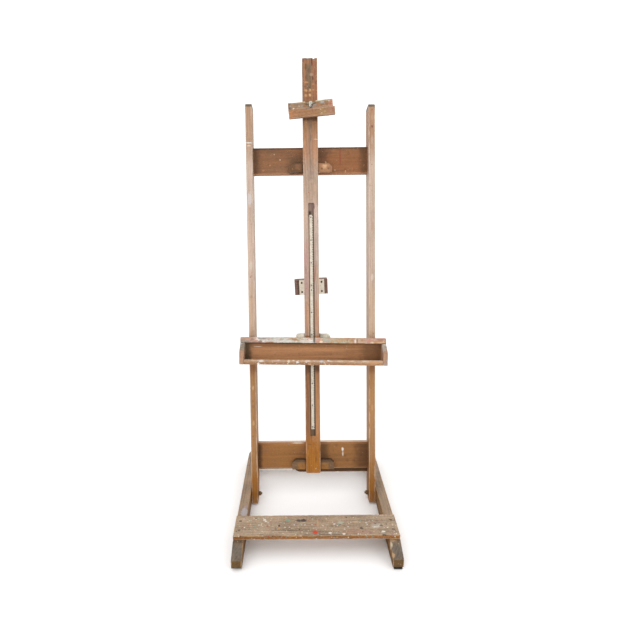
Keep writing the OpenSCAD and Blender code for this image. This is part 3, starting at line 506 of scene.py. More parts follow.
def screws(node, mat, slot_w=0.16):
    """Slotted screws in place of a group of plain ones, each at its CAD place."""
    src = bmesh.new()
    src.from_mesh(NODES[node].data)
    bmesh.ops.remove_doubles(src, verts=src.verts, dist=2e-6)
    seen, groups = set(), []
    for v in src.verts:
        if v in seen:
            continue
        stack, group = [v], []
        seen.add(v)
        while stack:
            a = stack.pop()
            group.append(a.co.copy())
            for e in a.link_edges:
                b = e.other_vert(a)
                if b not in seen:
                    seen.add(b)
                    stack.append(b)
        groups.append(np.array(group))
    src.free()
    rnd = random.Random(len(node))
    bm = bmesh.new()
    for pts in sorted(groups, key=lambda q: tuple(np.round(q.mean(0), 4))):
        mid = pts.mean(0)
        axis = np.linalg.svd(pts - mid)[2][0]
        t = (pts - mid) @ axis
        # the axis line passes through the middle of each end's circle
        hi = pts[t > t.max() - 1e-5].mean(0)
        lo = pts[t < t.min() + 1e-5].mean(0)
        centre = (hi + lo) / 2
        axis = (hi - lo) / np.linalg.norm(hi - lo)
        t = (pts - centre) @ axis
        rad = np.linalg.norm((pts - centre) - np.outer(t, axis), axis=1)
        if rad[t > t.max() - 1e-5].mean() < rad[t < t.min() + 1e-5].mean():
            axis, t = -axis, -t
        r, shank = rad.max(), rad[t < t.min() + 1e-5].mean()
        top, foot = t.max(), t.min()
        neck = t[rad > r * 0.98].min()
        head = top - neck
        z = Vector(axis)
        m = Matrix.Translation(Vector(centre) + z * top) @ z.to_track_quat("Z", "Y").to_matrix().to_4x4()
        m = m @ Matrix.Rotation(rnd.uniform(0, math.pi), 4, "Z")
        dip = min(head * 0.25, 0.0005)
        rows = [(shank * 0.55, foot - top), (shank, foot - top + shank * 1.6), (shank, -head - r * 0.1),
                (r * 0.95, -head * 0.55), (r, -dip * 1.6), (r * 0.96, -dip), (r * 0.8, -dip * 0.35)]
        lathe(bm, rows, 24, m, cap=False)
        # crown in three flats with the slot sunk between two of them
        w, count = r * slot_w, 24
        angles = [2 * math.pi * i / count for i in range(count)]
        ring = [(r * 0.8 * math.cos(a), r * 0.8 * math.sin(a)) for a in angles]
        crown = [bm.verts.new(m @ Vector((x, y, -dip * 0.35))) for x, y in ring]
        disc = bm.faces.new(crown)
        bm.faces.new([bm.verts.new(m @ Vector((shank * 0.55 * x / (r * 0.8), shank * 0.55 * y / (r * 0.8),
                                               foot - top)))
                               for x, y in reversed(ring)])
        side = (m.to_3x3() @ Vector((1, 0, 0))).normalized()
        origin = m.to_translation()
        piece = [disc]
        for s in (-1, 1):
            verts = {v for f in piece for v in f.verts}
            edges = {e for f in piece for e in f.edges}
            got = bmesh.ops.bisect_plane(bm, geom=list(verts) + list(edges) + piece, dist=1e-7,
                                         plane_co=origin + side * s * w, plane_no=side)
            piece = [f for f in got["geom"] if isinstance(f, bmesh.types.BMFace)]
        middle = [f for f in piece if abs((f.calc_center_median() - origin).dot(side)) < w * 0.5]
        sunk = bmesh.ops.extrude_face_region(bm, geom=middle)["geom"]
        low = [v for v in sunk if isinstance(v, bmesh.types.BMVert)]
        bmesh.ops.translate(bm, verts=low, vec=-z * min(head * 0.45, 0.0012))
        bmesh.ops.delete(bm, geom=middle, context="FACES_ONLY")
    bmesh.ops.remove_doubles(bm, verts=bm.verts, dist=3e-6)
    bmesh.ops.recalc_face_normals(bm, faces=bm.faces)
    return place(bm, node + "_slotted", node, Matrix.Identity(4), [mat], sharp=32)


def metal(node, mat, matrix=BASE, width=0.0005, segments=2, longer=0.0012, angle=28, suffix="_fine",
          shape=None):
    """A CAD metal part with its arrises broken."""
    bm, m, half = clean_copy(node, matrix)
    soften(bm, width, segments, angle, longer)
    if shape:
        shape(bm, half)
    return place(bm, node + suffix, node, m, [mat], sharp=40)


def knob(node, matrix, radius, depth, front, mats, stud=None):
    """Turned knob with six grips and a crowned face, its axis along the frame's y."""
    bm = bmesh.new()
    m = matrix @ Matrix.Translation((0, front, 0)) @ Matrix.Rotation(math.radians(-90), 4, "X")
    rows = [(0.30, 0.0), (0.62, 0.0), (0.84, 0.03), (0.955, 0.10), (1.0, 0.22), (1.0, 0.42), (0.995, 0.62),
            (0.97, 0.78), (0.90, 0.90), (0.76, 0.965), (0.55, 0.99), (0.30, 1.0), (0.12, 0.985)]
    count, rings = 96, []
    for r, h in rows:
        ring = []
        for i in range(count):
            a = 2 * math.pi * i / count
            grip = max(0.0, math.cos(6 * a)) ** 1.6 * 0.20 * max(0.0, (r - 0.55) / 0.45)
            rr = radius * r * (1 - grip)
            ring.append(bm.verts.new(m @ Vector((rr * math.cos(a), rr * math.sin(a), depth * h))))
        rings.append(ring)
    for a, b in zip(rings, rings[1:]):
        for i in range(count):
            bm.faces.new((a[i], a[(i + 1) % count], b[(i + 1) % count], b[i]))
    bm.faces.new(rings[-1])
    bm.faces.new(list(reversed(rings[0])))
    if stud:
        r, a, b = stud
        rows = []
        z = a
        while z < b:           # a run of thread
            rows += [(r, z), (r * 0.86, z + 0.0004)]
            z += 0.0008
        lathe(bm, rows + [(r, b)], 20, matrix @ Matrix.Rotation(math.radians(-90), 4, "X"), mat=1)
    bm.transform(m.inverted())
    bmesh.ops.recalc_face_normals(bm, faces=bm.faces)
    return place(bm, node + "_turned", node, m, mats, sharp=50)


# ---- colours of the woods ----

UPRIGHT = dict(mid=rgb(199, 173, 154), depth=0.36, grey=(rgb(196, 174, 160), 0.6), splash=0.06, flecks=FAINT,
               wear=0.55,
               worn=rgb(214, 196, 178), dirt=0.35, rings=0.0055, grain=0.8)
MAST_WOOD = dict(mid=rgb(190, 163, 144), depth=0.44, grey=(rgb(186, 160, 148), 0.6), splash=0.08,
                 flecks=FAINT, wear=0.5,
                 worn=rgb(204, 172, 146), dirt=0.4, rings=0.0052, mottle=0.6)
BAR = dict(mid=rgb(144, 98, 63), depth=0.46, grey=(rgb(128, 98, 74), 0.5), splash=0.05, flecks=FAINT,
           wear=0.4,
           worn=rgb(174, 128, 92), dirt=0.5, rings=0.0085, heart=(0.02, 0.12), grain=0.55, mottle=0.6)
RUNNER = dict(mid=rgb(134, 94, 44), depth=0.5, splash=0.2, flecks=FAINT, wear=0.8, worn=rgb(190, 150, 102),
              wear_w=0.0028, dirt=0.5, rings=0.007, top=(rgb(157, 134, 111), 0.96), mottle=0.8)
DECK = dict(mid=rgb(146, 96, 44), depth=0.5, splash=0.85, wear=0.9, worn=rgb(222, 176, 120), wear_w=0.0017,
            dirt=0.45,
            rings=0.008, top=(rgb(172, 149, 124), 0.97), mottle=1.3)
TRAY_WOOD = dict(mid=rgb(184, 131, 88), depth=0.4, splash=0.03, flecks=FAINT, wear=0.3,
                 worn=rgb(196, 148, 106), dirt=0.35,
                 rings=0.009, heart=(0.03, 0.2), grain=0.7)
DARK = dict(mid=rgb(136, 106, 94), depth=0.5, splash=0.08, flecks=FAINT, wear=0.5, worn=rgb(164, 134, 118),
            dirt=0.4)
LEDGE_PAINT = [GREY, PINK, WHITE, rgb(206, 202, 196), GREENISH, WHITE, rgb(214, 200, 186), PINK, GREENISH,
               TAN,
               rgb(206, 178, 158), rgb(196, 160, 144), PINK, MAUVE]
GREYS = [WHITE, GREY, BLUEGREY, CREAM, GREY]


def old_wood(name, half, seed, m, base, zones=(), marks=(), top=None, top_zones=(), **look):
    """Wood whose zones and marks are given in millimetres in the frame that its board was drawn in."""
    to_own = m.inverted() @ base
    axes = to_own.to_3x3()
    if top:
        top = (*top, tuple(axes @ Vector((0, 0, 1))))

    def own_ranges(ranges):
        out = [None, None, None]
        for i, r in enumerate(ranges):
            if r:
                j = max(range(3), key=lambda k: abs(axes[k][i]))
                out[j] = tuple(sorted(to_own.translation[j] + axes[j][i] * v / 1000 for v in r))
        return out

    own_zones, own_top = ([(own_ranges(ranges), soft / 1000, colour, amount) for ranges, soft, colour,
                           amount in z]
                          for z in (zones, top_zones))
    own_marks = []
    for at, size, colour, amount in marks:
        q = to_own @ (Vector(at) / 1000)
        s = axes @ (Vector(size) / 1000)
        own_marks.append((tuple(q), tuple(max(abs(v), 0.0015) for v in s), colour, amount))
    return wood(name, half, seed, zones=own_zones, marks=own_marks, top=top, top_zones=own_top, **look)


def B(node, matrix, along, look, **more):
    return board(node, matrix, along, old_wood, **{**look, **more})


def front_marks(y, deep, rows):
    """Marks on a board's front, from rows of (x, z, half-width, half-height, colour, amount)."""
    return [((x, y, z), (w, deep, h), colour, amount) for x, z, w, h, colour, amount in rows]


def top_marks(z, deep, rows):
    """Marks on a board's upper side, from rows of (x, y, half-width, half-depth, colour, amount)."""
    return [((x, y, z), (w, h, deep), colour, amount) for x, y, w, h, colour, amount in rows]


def mirrored(side, a, b):
    """The range a..b on the side of the middle that side names."""
    return tuple(sorted((side * a, side * b)))


def z_zone(lo, hi, soft, colour, amount=1.0):
    """A zone of a board that runs up the frame, between two heights."""
    return (None, None, (lo, hi)), soft, colour, amount


STEEL = steel("aged_steel", rgb(150, 144, 134), rgb(104, 98, 92), rgb(104, 62, 36), 0.45, 0.42)
SCREW = steel("screw_steel", rgb(142, 112, 78), rgb(108, 80, 50), rgb(104, 66, 36), 0.6, 0.5, 0.35, scale=3)
DULL = steel("dull_screw", rgb(160, 116, 78), rgb(140, 98, 64), rgb(108, 70, 42), 0.4, 0.65, 0.1, scale=3)
DUSTY = steel("dusty_screw", rgb(146, 126, 104), rgb(122, 102, 82), rgb(112, 80, 54), 0.4, 0.65, 0.1, scale=3)
PAINTED = steel("painted_screw", rgb(180, 130, 88), rgb(166, 118, 78), rgb(138, 94, 58), 0.3, 0.65, 0.05,
                scale=3)
BLACKED = steel("blacked_screw", rgb(58, 52, 46), rgb(38, 34, 30), rgb(74, 50, 34), 0.3, 0.5, 0.5, scale=3)
BRIGHT = steel("plated_steel", rgb(216, 212, 200), rgb(92, 84, 72), rgb(96, 70, 46), 0.3, 0.34, 0.8, scale=3)
RACK = steel("rack_enamel", rgb(236, 226, 208), rgb(214, 202, 180), rgb(132, 104, 76), 0.2, 0.5, 0.1,
             rgb(150, 138, 118))
PLATE = steel("plate_enamel", rgb(255, 247, 228), rgb(244, 232, 210), rgb(150, 116, 84), 0.15, 0.5, 0.1,
              rgb(150, 134, 112))
BRASS = steel("dull_brass", rgb(196, 160, 92), rgb(150, 118, 66), rgb(92, 66, 40), 0.3, 0.38, 1.0, scale=2)
RUBBER = rubber("black_rubber")
LACQUER = lacquer("dark_lacquer", rgb(44, 24, 20), rgb(84, 50, 38), rgb(146, 104, 76))

# ---- base ----


def blunt_toes(bm, half):
    """Wears a runner's two lower corners round."""
    r = 0.009
    for v in bm.verts:
        u = r - (half[2] - abs(v.co.z))
        w = r - (half[1] - v.co.y)
        d = math.hypot(u, w)
        if u > 0 and w > 0 and d > r:
            v.co.z = math.copysign(half[2] - r + u * r / d, v.co.z)
            v.co.y = half[1] - r + w * r / d


for n, side in (("left_runner", -1), ("right_runner", 1)):
    own_marks = [((-281, -150, 70), (15, 34, 10), rgb(186, 180, 184), 0.7),
                 ((-276, -112, 70), (8, 14, 10), rgb(172, 150, 156), 0.5)]
    if side > 0:
        own_marks = [((268, -326, 56), (6, 12, 18), rgb(222, 204, 172), 0.8),
                     ((276, -314, 64), (16, 6, 8), rgb(176, 148, 112), 0.7),
                     ((270, -362, 44), (7, 12, 8), rgb(198, 162, 118), 0.8)]
    inner = mirrored(side, 262, 268)
    B(n, BASE, "y", RUNNER, round_=0.0026, chip=1.3, shape=blunt_toes, marks=own_marks, zones=[
        ((None, (-381, 381), (0, 26)), 10, rgb(96, 62, 20), 0.7),
        ((None, (-381, -373), (0, 60)), 2, rgb(98, 72, 30), 1.0)],
      top_zones=[((None, (-390, -312), None), 3, rgb(118, 101, 82), 1.0),
                 ((None, (-372, -326), None), 8, rgb(110, 100, 90), 0.8),
                 ((inner, (-390, -312), None), 2, rgb(206, 160, 102), 0.9),
                 ((None, (-318, -306), None), 3, rgb(88, 66, 44), 0.7)])
B("step_board", BASE, "x", DECK, step=0.009, round_=0.0016, chip=1.2, zones=[
    ((None, (-309, -306), (60, 78)), 1.0, rgb(140, 88, 38), 0.9)], marks=top_marks(85, 4, [
    (-3.5, -289, 11.5, 10.5, rgb(214, 66, 42), 0.95), (-104, -222, 9, 8, rgb(122, 166, 142), 0.75),
    (-64, -222, 10, 8, rgb(60, 54, 56), 0.85), (-46, -221, 12, 10, rgb(52, 46, 50), 0.85),
    (-195, -215, 6, 5, rgb(238, 230, 218), 0.9), (-189, -224, 5.5, 4.5, rgb(238, 230, 218), 0.9),
    (51, -293, 6.5, 5, rgb(244, 234, 220), 0.9), (101, -299, 6, 5, rgb(244, 234, 220), 0.9),
    (247, -288, 8.5, 5, rgb(244, 238, 226), 0.9), (232, -252, 24, 12, rgb(196, 188, 178), 0.45),
    (222, -262, 16, 4, rgb(226, 218, 206), 0.7), (168, -268, 7.5, 7, rgb(72, 60, 52), 0.85),
    (245, -253, 7, 5, rgb(64, 56, 52), 0.8), (224, -243, 5, 4, rgb(74, 62, 56), 0.7),
    (247, -306, 9, 5, rgb(62, 52, 46), 0.75), (-138, -250, 4.5, 6.5, rgb(56, 50, 46), 0.85),
    (-118, -276, 50, 2.5, rgb(92, 78, 66), 0.6), (-70, -280, 34, 2, rgb(100, 84, 70), 0.5),
    (-150, -268, 3, 9, rgb(96, 84, 70), 0.5), (8, -238, 3, 28, rgb(208, 170, 122), 0.6),
    (95, -236, 12, 9, rgb(190, 196, 176), 0.6), (70, -244, 5, 4, rgb(228, 220, 206), 0.8),
    (150, -232, 9, 5, rgb(212, 182, 132), 0.6), (190, -238, 5, 4, rgb(228, 220, 206), 0.8),
    (150, -288, 80, 9, rgb(176, 116, 100), 0.35)]))
B("rear_stretcher", BASE, "x", RUNNER)
screws("base_screws", DUSTY)
for n in ("pivot_bolts", "pivot_nuts", "pivot_washers"):
    metal(n, SCREW, width=0.0008)
metal("strut_foot_bracket", STEEL, width=0.0006)
metal("strut_foot_pin", SCREW, width=0.0006)


def moulded(bm, half):
    """Pads have a groove round them."""
    for s in (-0.0014, -0.0002, 0.0010):
        slice_at(bm, s, 2)
    bm.normal_update()
    groove = [(v, v.normal.copy()) for v in bm.verts if abs(v.co.z + 0.0002) < 1e-5]
    for v, n in groove:
        v.co -= n * 0.0006


metal("foot_pads", RUBBER, width=0.0012, segments=3, shape=moulded, suffix="_moulded")

# ---- tilting frame ----

AMBER = rgb(154, 98, 26)
# a darker band over each upright's top end and the 13 mm of face below it
UPRIGHT_TOP_BAND = rgb(112, 96, 78)
for n, side, top, brow in (("left_upright", -1, 1642, rgb(184, 149, 121)),
                           ("right_upright", 1, 1634.5, rgb(173, 133, 103))):
    at = [((side * 252, -31, z), size, colour, amount) for z, size, colour, amount in (
        [(1484, (16, 6, 3), WHITE, 0.8), (1472, (9, 6, 3), WHITE, 0.6),
         (1255, (10, 6, 32), rgb(214, 208, 208), 0.6),
         (985, (7, 6, 22), rgb(222, 208, 194), 0.5), (470, (5, 6, 9), rgb(214, 178, 134), 0.6),
         (318, (5, 6, 12), rgb(206, 168, 120), 0.6)]
        if side < 0 else
        [(1610, (4, 6, 5), rgb(148, 98, 78), 0.6), (1543, (4, 6, 6), rgb(128, 66, 58), 0.8),
         (1580, (6, 6, 14), rgb(196, 160, 130), 0.5), (1490, (5, 6, 20), rgb(196, 172, 152), 0.6),
         (1140, (6, 6, 22), rgb(186, 146, 118), 0.5), (930, (6, 6, 16), rgb(222, 204, 188), 0.6),
         (380, (5, 6, 14), rgb(198, 156, 110), 0.5)])]
    B(n, LEANING, "z", UPRIGHT, round_=0.0018, marks=at, zones=[
        z_zone(1440, 1700, 70, brow), z_zone(560, 900, 60, rgb(197, 166, 138), 0.8),
        # the zone from 530 to 572 mm is painted shadow: the tray's shade on the uprights just below it
        z_zone(-50, 660, 90, rgb(170, 124, 78)), z_zone(530, 572, 18, rgb(146, 96, 56), 0.7),
        z_zone(-50, 130, 90, AMBER), ((mirrored(side, 262, 300), None, (200, 1600)), 2,
                                      rgb(214, 204, 196), 0.5), z_zone(top - 13, top + 5, 1.5, UPRIGHT_TOP_BAND)])
B("upper_crossbar", LEANING, "x", BAR, step=0.010, zones=[
    (((-84, -30), None, (1390, 1430)), 20, rgb(98, 72, 46), 0.8),
    (((30, 80), None, (1405, 1475)), 22, rgb(88, 58, 36), 0.75),
    (((70, 225), None, (1362, 1450)), 30, rgb(146, 92, 52), 0.8),
    # the dark zones at x -240..-214 and 206..240 are painted shadow: the uprights' shade on the crossbar's
    # ends
    (((-240, -214), None, None), 16, rgb(92, 64, 42), 0.8),
    (((-90, -66), None, (1362, 1388)), 5, rgb(80, 64, 50), 0.7),
    (((206, 240), None, None), 12, rgb(104, 68, 38), 0.8),
    (((-240, 240), None, (1362, 1366)), 1.5, rgb(198, 140, 100), 0.6),
    (((-240, 240), None, (1464, 1475)), 2.5, rgb(82, 58, 38), 0.85)],
  marks=front_marks(0, 4, [
    (124, 1430, 2.4, 40, rgb(142, 56, 40), 0.8), (-150, 1444, 3, 3, rgb(206, 176, 150), 0.7),
    (-126, 1422, 3, 4, rgb(210, 184, 160), 0.7), (-168, 1400, 3, 3, rgb(192, 150, 122), 0.6),
    (64, 1410, 3, 4, rgb(220, 196, 170), 0.6), (-196, 1380, 6, 3, rgb(186, 128, 92), 0.6),
    (146, 1372, 3, 6, rgb(214, 150, 110), 0.6), (174, 1382, 2, 8, rgb(190, 120, 84), 0.6)]))
B("lower_crossbar", LEANING, "x", dict(BAR, mid=rgb(156, 105, 54)), step=0.010,
  top=(rgb(222, 200, 178), 0.85), zones=[
    (((30, 245), None, None), 14, rgb(140, 95, 50), 0.9),
    # the dark zones at x -245..-222 and 184..245 are painted shadow: the uprights' shade on the crossbar's
    # ends
    (((-245, -222), None, None), 9, rgb(80, 50, 22), 0.9),
    (((184, 245), None, None), 22, rgb(98, 62, 28), 0.85),
    (((30, 66), None, (135, 230)), 16, rgb(88, 60, 32), 0.75),
    (((-240, 240), None, (215, 224)), 3, rgb(168, 116, 72), 0.5),
    (((-240, 240), None, (106, 112)), 2, rgb(196, 156, 112), 0.6)],
  marks=front_marks(0, 4, [
    (128, 192, 5, 10, rgb(240, 232, 222), 0.95), (129, 172, 3.5, 11, rgb(232, 216, 200), 0.8),
    (-64, 221, 30, 3.5, rgb(232, 218, 200), 0.8)]))
B("centre_rail", LEANING, "z", BAR, step=0.02)
# the left guide's middle tone, darker than the right guide's, is painted shade
B("upper_left_guide", LEANING, "x", dict(BAR, mid=rgb(104, 70, 38)), step=0.006, wear=0.1, zones=[
    (((-62, -40), None, (1378, 1400)), 5, rgb(140, 96, 64), 0.7)])
B("upper_right_guide", LEANING, "x", dict(BAR, mid=rgb(174, 126, 88)), step=0.006, wear=0.1, zones=[
    (((50, 66), None, (1380, 1396)), 4, rgb(212, 168, 130), 0.8),
    (((78, 100), None, None), 5, rgb(150, 106, 78), 0.8)])
GUIDE = dict(BAR, mid=rgb(116, 88, 60), wear=0.1)
for n, s in (("lower_left_guide", -1), ("lower_right_guide", 1)):
    B(n, LEANING, "x", GUIDE, step=0.006, zones=[
        ((mirrored(s, 30, 64), None, (106, 140)), 8, rgb(160, 108, 48), 0.95),
        (((-95, 95), None, (146, 160)), 4, rgb(84, 62, 40), 0.8)])
B("backing_plate", LEANING, "x", BAR, step=0.008, mid=rgb(92, 58, 26), wear=0.1)
screws("crossbar_screws", DULL)
screws("frame_screws", DULL)
metal("strut_top_bracket", STEEL, LEANING, width=0.0006)
metal("strut_top_pin", SCREW, LEANING, width=0.0006)
metal("mast_lock_insert", BRASS, LEANING, width=0.0003)
knob("mast_lock_knob", LEANING @ shift(0.02, 0, 1.447), 0.019, 0.024, 0.0275, [LACQUER, SCREW],
     (0.0039, 0.0005, 0.029))

# ---- mast and rack ----


def top_lines(bm, half):
    z = half[2] - 0.0015
    while z > half[2] - 0.016:
        slice_at(bm, z, 2, lambda f: f.calc_center_median().z > half[2] - 0.03)
        z -= 0.0025
    x = -half[0] + 0.006
    while x < half[0]:
        slice_at(bm, x, 0, lambda f: f.calc_center_median().z > half[2] - 0.03)
        x += 0.0024


def worn_ends(bm, half):
    """The mast's top has a small bite near its right corner and its foot's corners are rubbed round."""
    r = 0.006
    for v in bm.verts:
        d = half[2] - v.co.z
        if d < 0.02:
            bite = 0.0042 * math.exp(-(((v.co.x - 0.0155) / 0.0036) ** 4))
            rough = 0.0005 * (noise.noise(Vector((v.co.x * 300, v.co.y * 90, 3))) + 0.5)
            v.co.z -= max(0.0, bite + rough) * (1 - d / 0.02)
        u, w = r - (half[2] + v.co.z), r - (half[0] - abs(v.co.x))
        away = math.hypot(u, w)
        if u > 0 and w > 0 and away > r:
            v.co.z = -half[2] + r - u * r / away
            v.co.x = math.copysign(half[0] - r + w * r / away, v.co.x)


GROOVE = (-33.3, -14)
DEEP, RUST, LIT, SMOKE = rgb(84, 52, 34), rgb(136, 66, 46), rgb(222, 170, 118), rgb(118, 104, 86)
B("mast", LEANING, "z", MAST_WOOD, round_=0.0018, extra=top_lines, shape=worn_ends, zones=[
    z_zone(1240, 1440, 40, rgb(172, 146, 126), 0.9), z_zone(1400, 1900, 50, rgb(176, 130, 98)),
    z_zone(1500, 1600, 40, rgb(166, 122, 86)),
    z_zone(1620, 1900, 20, rgb(160, 112, 78)), (((-36, 0), None, (60, 690)), 3, rgb(146, 98, 62), 1.0),
    (((0, 36), None, (60, 690)), 3, rgb(182, 130, 88), 1.0), z_zone(700, 840, 50, rgb(190, 138, 104), 0.7),
    (((-36, -10), None, (860, 1090)), 14, rgb(188, 148, 138), 0.7),
    (((14, 36), None, (1000, 1230)), 10, rgb(202, 180, 168), 0.7),
    # the zone from 534 to 572 mm is painted shadow under the tray
    z_zone(534, 572, 14, rgb(104, 68, 40), 0.85), z_zone(60, 250, 60, rgb(162, 102, 28)),
    # the GROOVE zones are painted shade inside the rack's groove: darker through it and at its top end,
    # darkest at its right side and just above the rack's top, and darker again from 262 to 640 mm
    (((-12, 12), GROOVE, (262, 1238)), 0.8, rgb(150, 128, 106), 0.85),
    (((4, 12), GROOVE, (262, 1238)), 1.5, rgb(96, 80, 64), 0.8),
    (((-12, 12), GROOVE, (1198, 1240)), 6, rgb(134, 108, 98), 0.8),
    (((-12, 2), GROOVE, (1182, 1206)), 4, rgb(58, 42, 28), 0.9),
    (((-12, 12), GROOVE, (262, 640)), 1.0, rgb(92, 64, 38), 0.7),
    z_zone(1568, 1586, 5, rgb(92, 60, 40), 0.75), z_zone(1811, 1820, 2, rgb(78, 56, 40), 0.7),
    (((-14, 8), None, (1690, 1790)), 9, rgb(116, 98, 74), 0.8),
    (((-7, 7), None, (1330, 1575)), 7, rgb(146, 122, 104), 0.7),
    (((18, 36), None, (1620, 1820)), 7, rgb(164, 106, 76), 0.6),
    (((-36, -25), None, (1640, 1820)), 4, rgb(112, 88, 66), 0.5)],
  marks=front_marks(-34.5, 8, [
    (8.5, 1800, 3.2, 18, DEEP, 0.95), (11, 1792, 3.5, 9, RUST, 0.6), (-26, 1806, 5, 8, rgb(110, 66, 54), 0.6),
    (-17, 1780, 4, 12, rgb(96, 70, 44), 0.7), (2, 1790, 4, 18, SMOKE, 0.6),
    (-6, 1766, 3, 12, rgb(92, 72, 50), 0.6), (12, 1736, 4, 9, DEEP, 0.7), (20, 1758, 4, 12, RUST, 0.4),
    (6, 1750, 8, 6, rgb(196, 164, 138), 0.5), (-14, 1740, 6, 8, rgb(118, 84, 54), 0.6),
    (24, 1718, 4, 8, rgb(122, 72, 56), 0.6), (-14, 1720, 9, 4, rgb(206, 150, 100), 0.6),
    (14, 1712, 6, 4, rgb(200, 140, 96), 0.5), (-20, 1704, 4, 5, rgb(106, 72, 42), 0.6),
    (-2, 1700, 5, 4, rgb(112, 78, 46), 0.6), (-16, 1688, 7, 5, LIT, 0.7), (1, 1689, 4, 6, LIT, 0.8),
    (14, 1690, 5, 4, rgb(206, 146, 98), 0.6), (-17, 1668, 6, 6, LIT, 0.6),
    (0, 1669, 5, 7, rgb(232, 186, 136), 0.8), (-10, 1678, 14, 2.5, rgb(126, 84, 44), 0.7),
    (18, 1674, 5, 14, rgb(170, 110, 72), 0.6), (-8, 1658, 14, 3, rgb(146, 92, 52), 0.6),
    (-18, 1556, 8, 20, rgb(196, 150, 108), 0.6), (2, 1548, 5, 10, rgb(132, 112, 96), 0.7),
    (22, 1494, 10, 1.6, rgb(230, 204, 176), 0.85), (-12, 1520, 6, 30, rgb(190, 146, 110), 0.5),
    (1, 1500, 4, 16, rgb(122, 100, 84), 0.6), (-3, 1446, 4, 14, rgb(140, 112, 96), 0.6),
    (3, 1398, 4, 12, rgb(146, 120, 106), 0.6), (8, 1360, 7, 9, rgb(150, 128, 116), 0.6),
    (-4, 1338, 6, 6, rgb(160, 138, 128), 0.6), (16, 1300, 5, 20, rgb(206, 166, 138), 0.5),
    (13.5, 1222, 2, 12, rgb(112, 60, 60), 0.8), (17, 960, 3.5, 30, rgb(178, 106, 88), 0.65),
    (14, 930, 2.5, 20, rgb(196, 96, 76), 0.5), (-26, 1100, 6, 40, rgb(188, 170, 158), 0.6),
    (-24, 1010, 8, 24, rgb(190, 146, 140), 0.5), (-24, 640, 7, 16, rgb(112, 72, 44), 0.6),
    (-18, 430, 3, 40, rgb(120, 84, 58), 0.5), (-22, 190, 4, 18, rgb(190, 130, 62), 0.5),
    (12, 160, 4, 14, rgb(126, 78, 30), 0.6), (-14, 226, 10, 3, rgb(112, 70, 30), 0.6)]))
for n in ("rack_top", "rack_middle", "rack_bottom"):
    metal(n, RACK, LEANING, width=0.00022, segments=2, longer=0.0008)
screws("rack_screws", BLACKED)

# ---- tray ----

SHADOW = rgb(50, 28, 12)
B("tray_ledge", TRAY, "x", TRAY_WOOD, step=0.007, round_=0.002, chip=1.3, smear=1.05,
  smear_colours=LEDGE_PAINT,
  in_order=0.85, flecks=STUDIO, splash=0.5, zones=[((None, None, (655, 663)), 1.2, SHADOW, 0.9)],
  marks=front_marks(-66, 20, [
    (-248, 676, 9, 5, rgb(118, 110, 104), 0.6), (-207, 679, 20, 3, rgb(112, 92, 92), 0.6),
    (-216, 667, 10, 4, rgb(108, 102, 98), 0.7), (-120, 668, 62, 5, rgb(226, 222, 214), 0.7),
    (-30, 669, 26, 8, rgb(222, 212, 198), 0.7), (22, 672, 12, 9, rgb(208, 150, 128), 0.8),
    (36, 667, 8, 5, rgb(246, 222, 190), 0.95), (56, 674, 18, 9, rgb(178, 184, 170), 0.8),
    (176, 670, 4, 9, rgb(236, 224, 214), 0.9), (184, 672, 2.5, 8, rgb(88, 70, 62), 0.7),
    (232, 672, 16, 7, rgb(206, 142, 122), 0.7), (246, 665, 8, 4, rgb(232, 212, 176), 0.8),
    (280, 666, 24, 3.5, rgb(214, 182, 142), 0.7), (280, 678, 24, 3.5, rgb(158, 116, 118), 0.7)]))
B("tray_back", TRAY, "x", TRAY_WOOD, step=0.012, zones=[
    # painted shade in the recess: SHADOW and the 642–665 band under the ledge's overhang, the dark zones at
    # both ends, and the broader darkening toward the right end
    ((None, None, (655.5, 665)), 3.0, SHADOW, 0.95), ((None, None, (642, 665)), 7, rgb(136, 92, 48), 0.6),
    (((-290, -256), None, None), 14, rgb(84, 68, 42), 0.95),
    (((208, 290), None, None), 22, rgb(70, 42, 16), 0.95),
    (((130, 290), None, None), 40, rgb(158, 108, 66), 0.6)], marks=[
    ((-226, -51, 644), (17, 4, 1.6), rgb(214, 198, 180), 0.8)])
B("tray_bottom", TRAY, "x", TRAY_WOOD, splash=0.4, flecks=STUDIO, mid=rgb(140, 98, 62))
LIP = [WHITE, CREAM, GREY, rgb(228, 206, 180), PINK, WHITE, OCHRE, BLUEGREY, CREAM, rgb(120, 80, 60)]
B("tray_lip", TRAY, "x", TRAY_WOOD, step=0.007, round_=0.002, chip=1.4, smear=0.12,
  smear_colours=[CREAM, OCHRE, PINK, GREY],
  splash=0.9, flecks=LIP, mid=rgb(163, 119, 82), mottle=0.8, top=(rgb(196, 168, 142), 0.8), zones=[
    ((None, None, (588, 597)), 3, rgb(198, 166, 138), 0.7),
    ((None, None, (574, 580)), 2, rgb(150, 108, 74), 0.6)],
  marks=front_marks(-107, 10, [
    (36, 592, 9, 5, rgb(196, 204, 208), 0.85), (-62, 588, 6, 5, WHITE, 0.9),
    (-98, 592, 6, 5, rgb(230, 210, 180), 0.9), (-208, 592, 11, 5, rgb(230, 218, 206), 0.85),
    (-240, 593, 12, 3, rgb(214, 180, 146), 0.8), (250, 588, 26, 7, rgb(206, 150, 98), 0.6),
    (-150, 594, 22, 3, rgb(206, 172, 152), 0.7), (110, 593, 16, 3, rgb(226, 196, 152), 0.7),
    (-20, 593, 12, 4, rgb(222, 206, 190), 0.8), (8, 594, 9, 3, rgb(196, 168, 148), 0.8),
    (72, 593, 12, 3, rgb(218, 200, 180), 0.8), (160, 593, 10, 3, rgb(222, 196, 166), 0.7),
    (210, 594, 14, 3, rgb(214, 192, 170), 0.8), (-268, 590, 12, 5, rgb(176, 142, 112), 0.7)]))
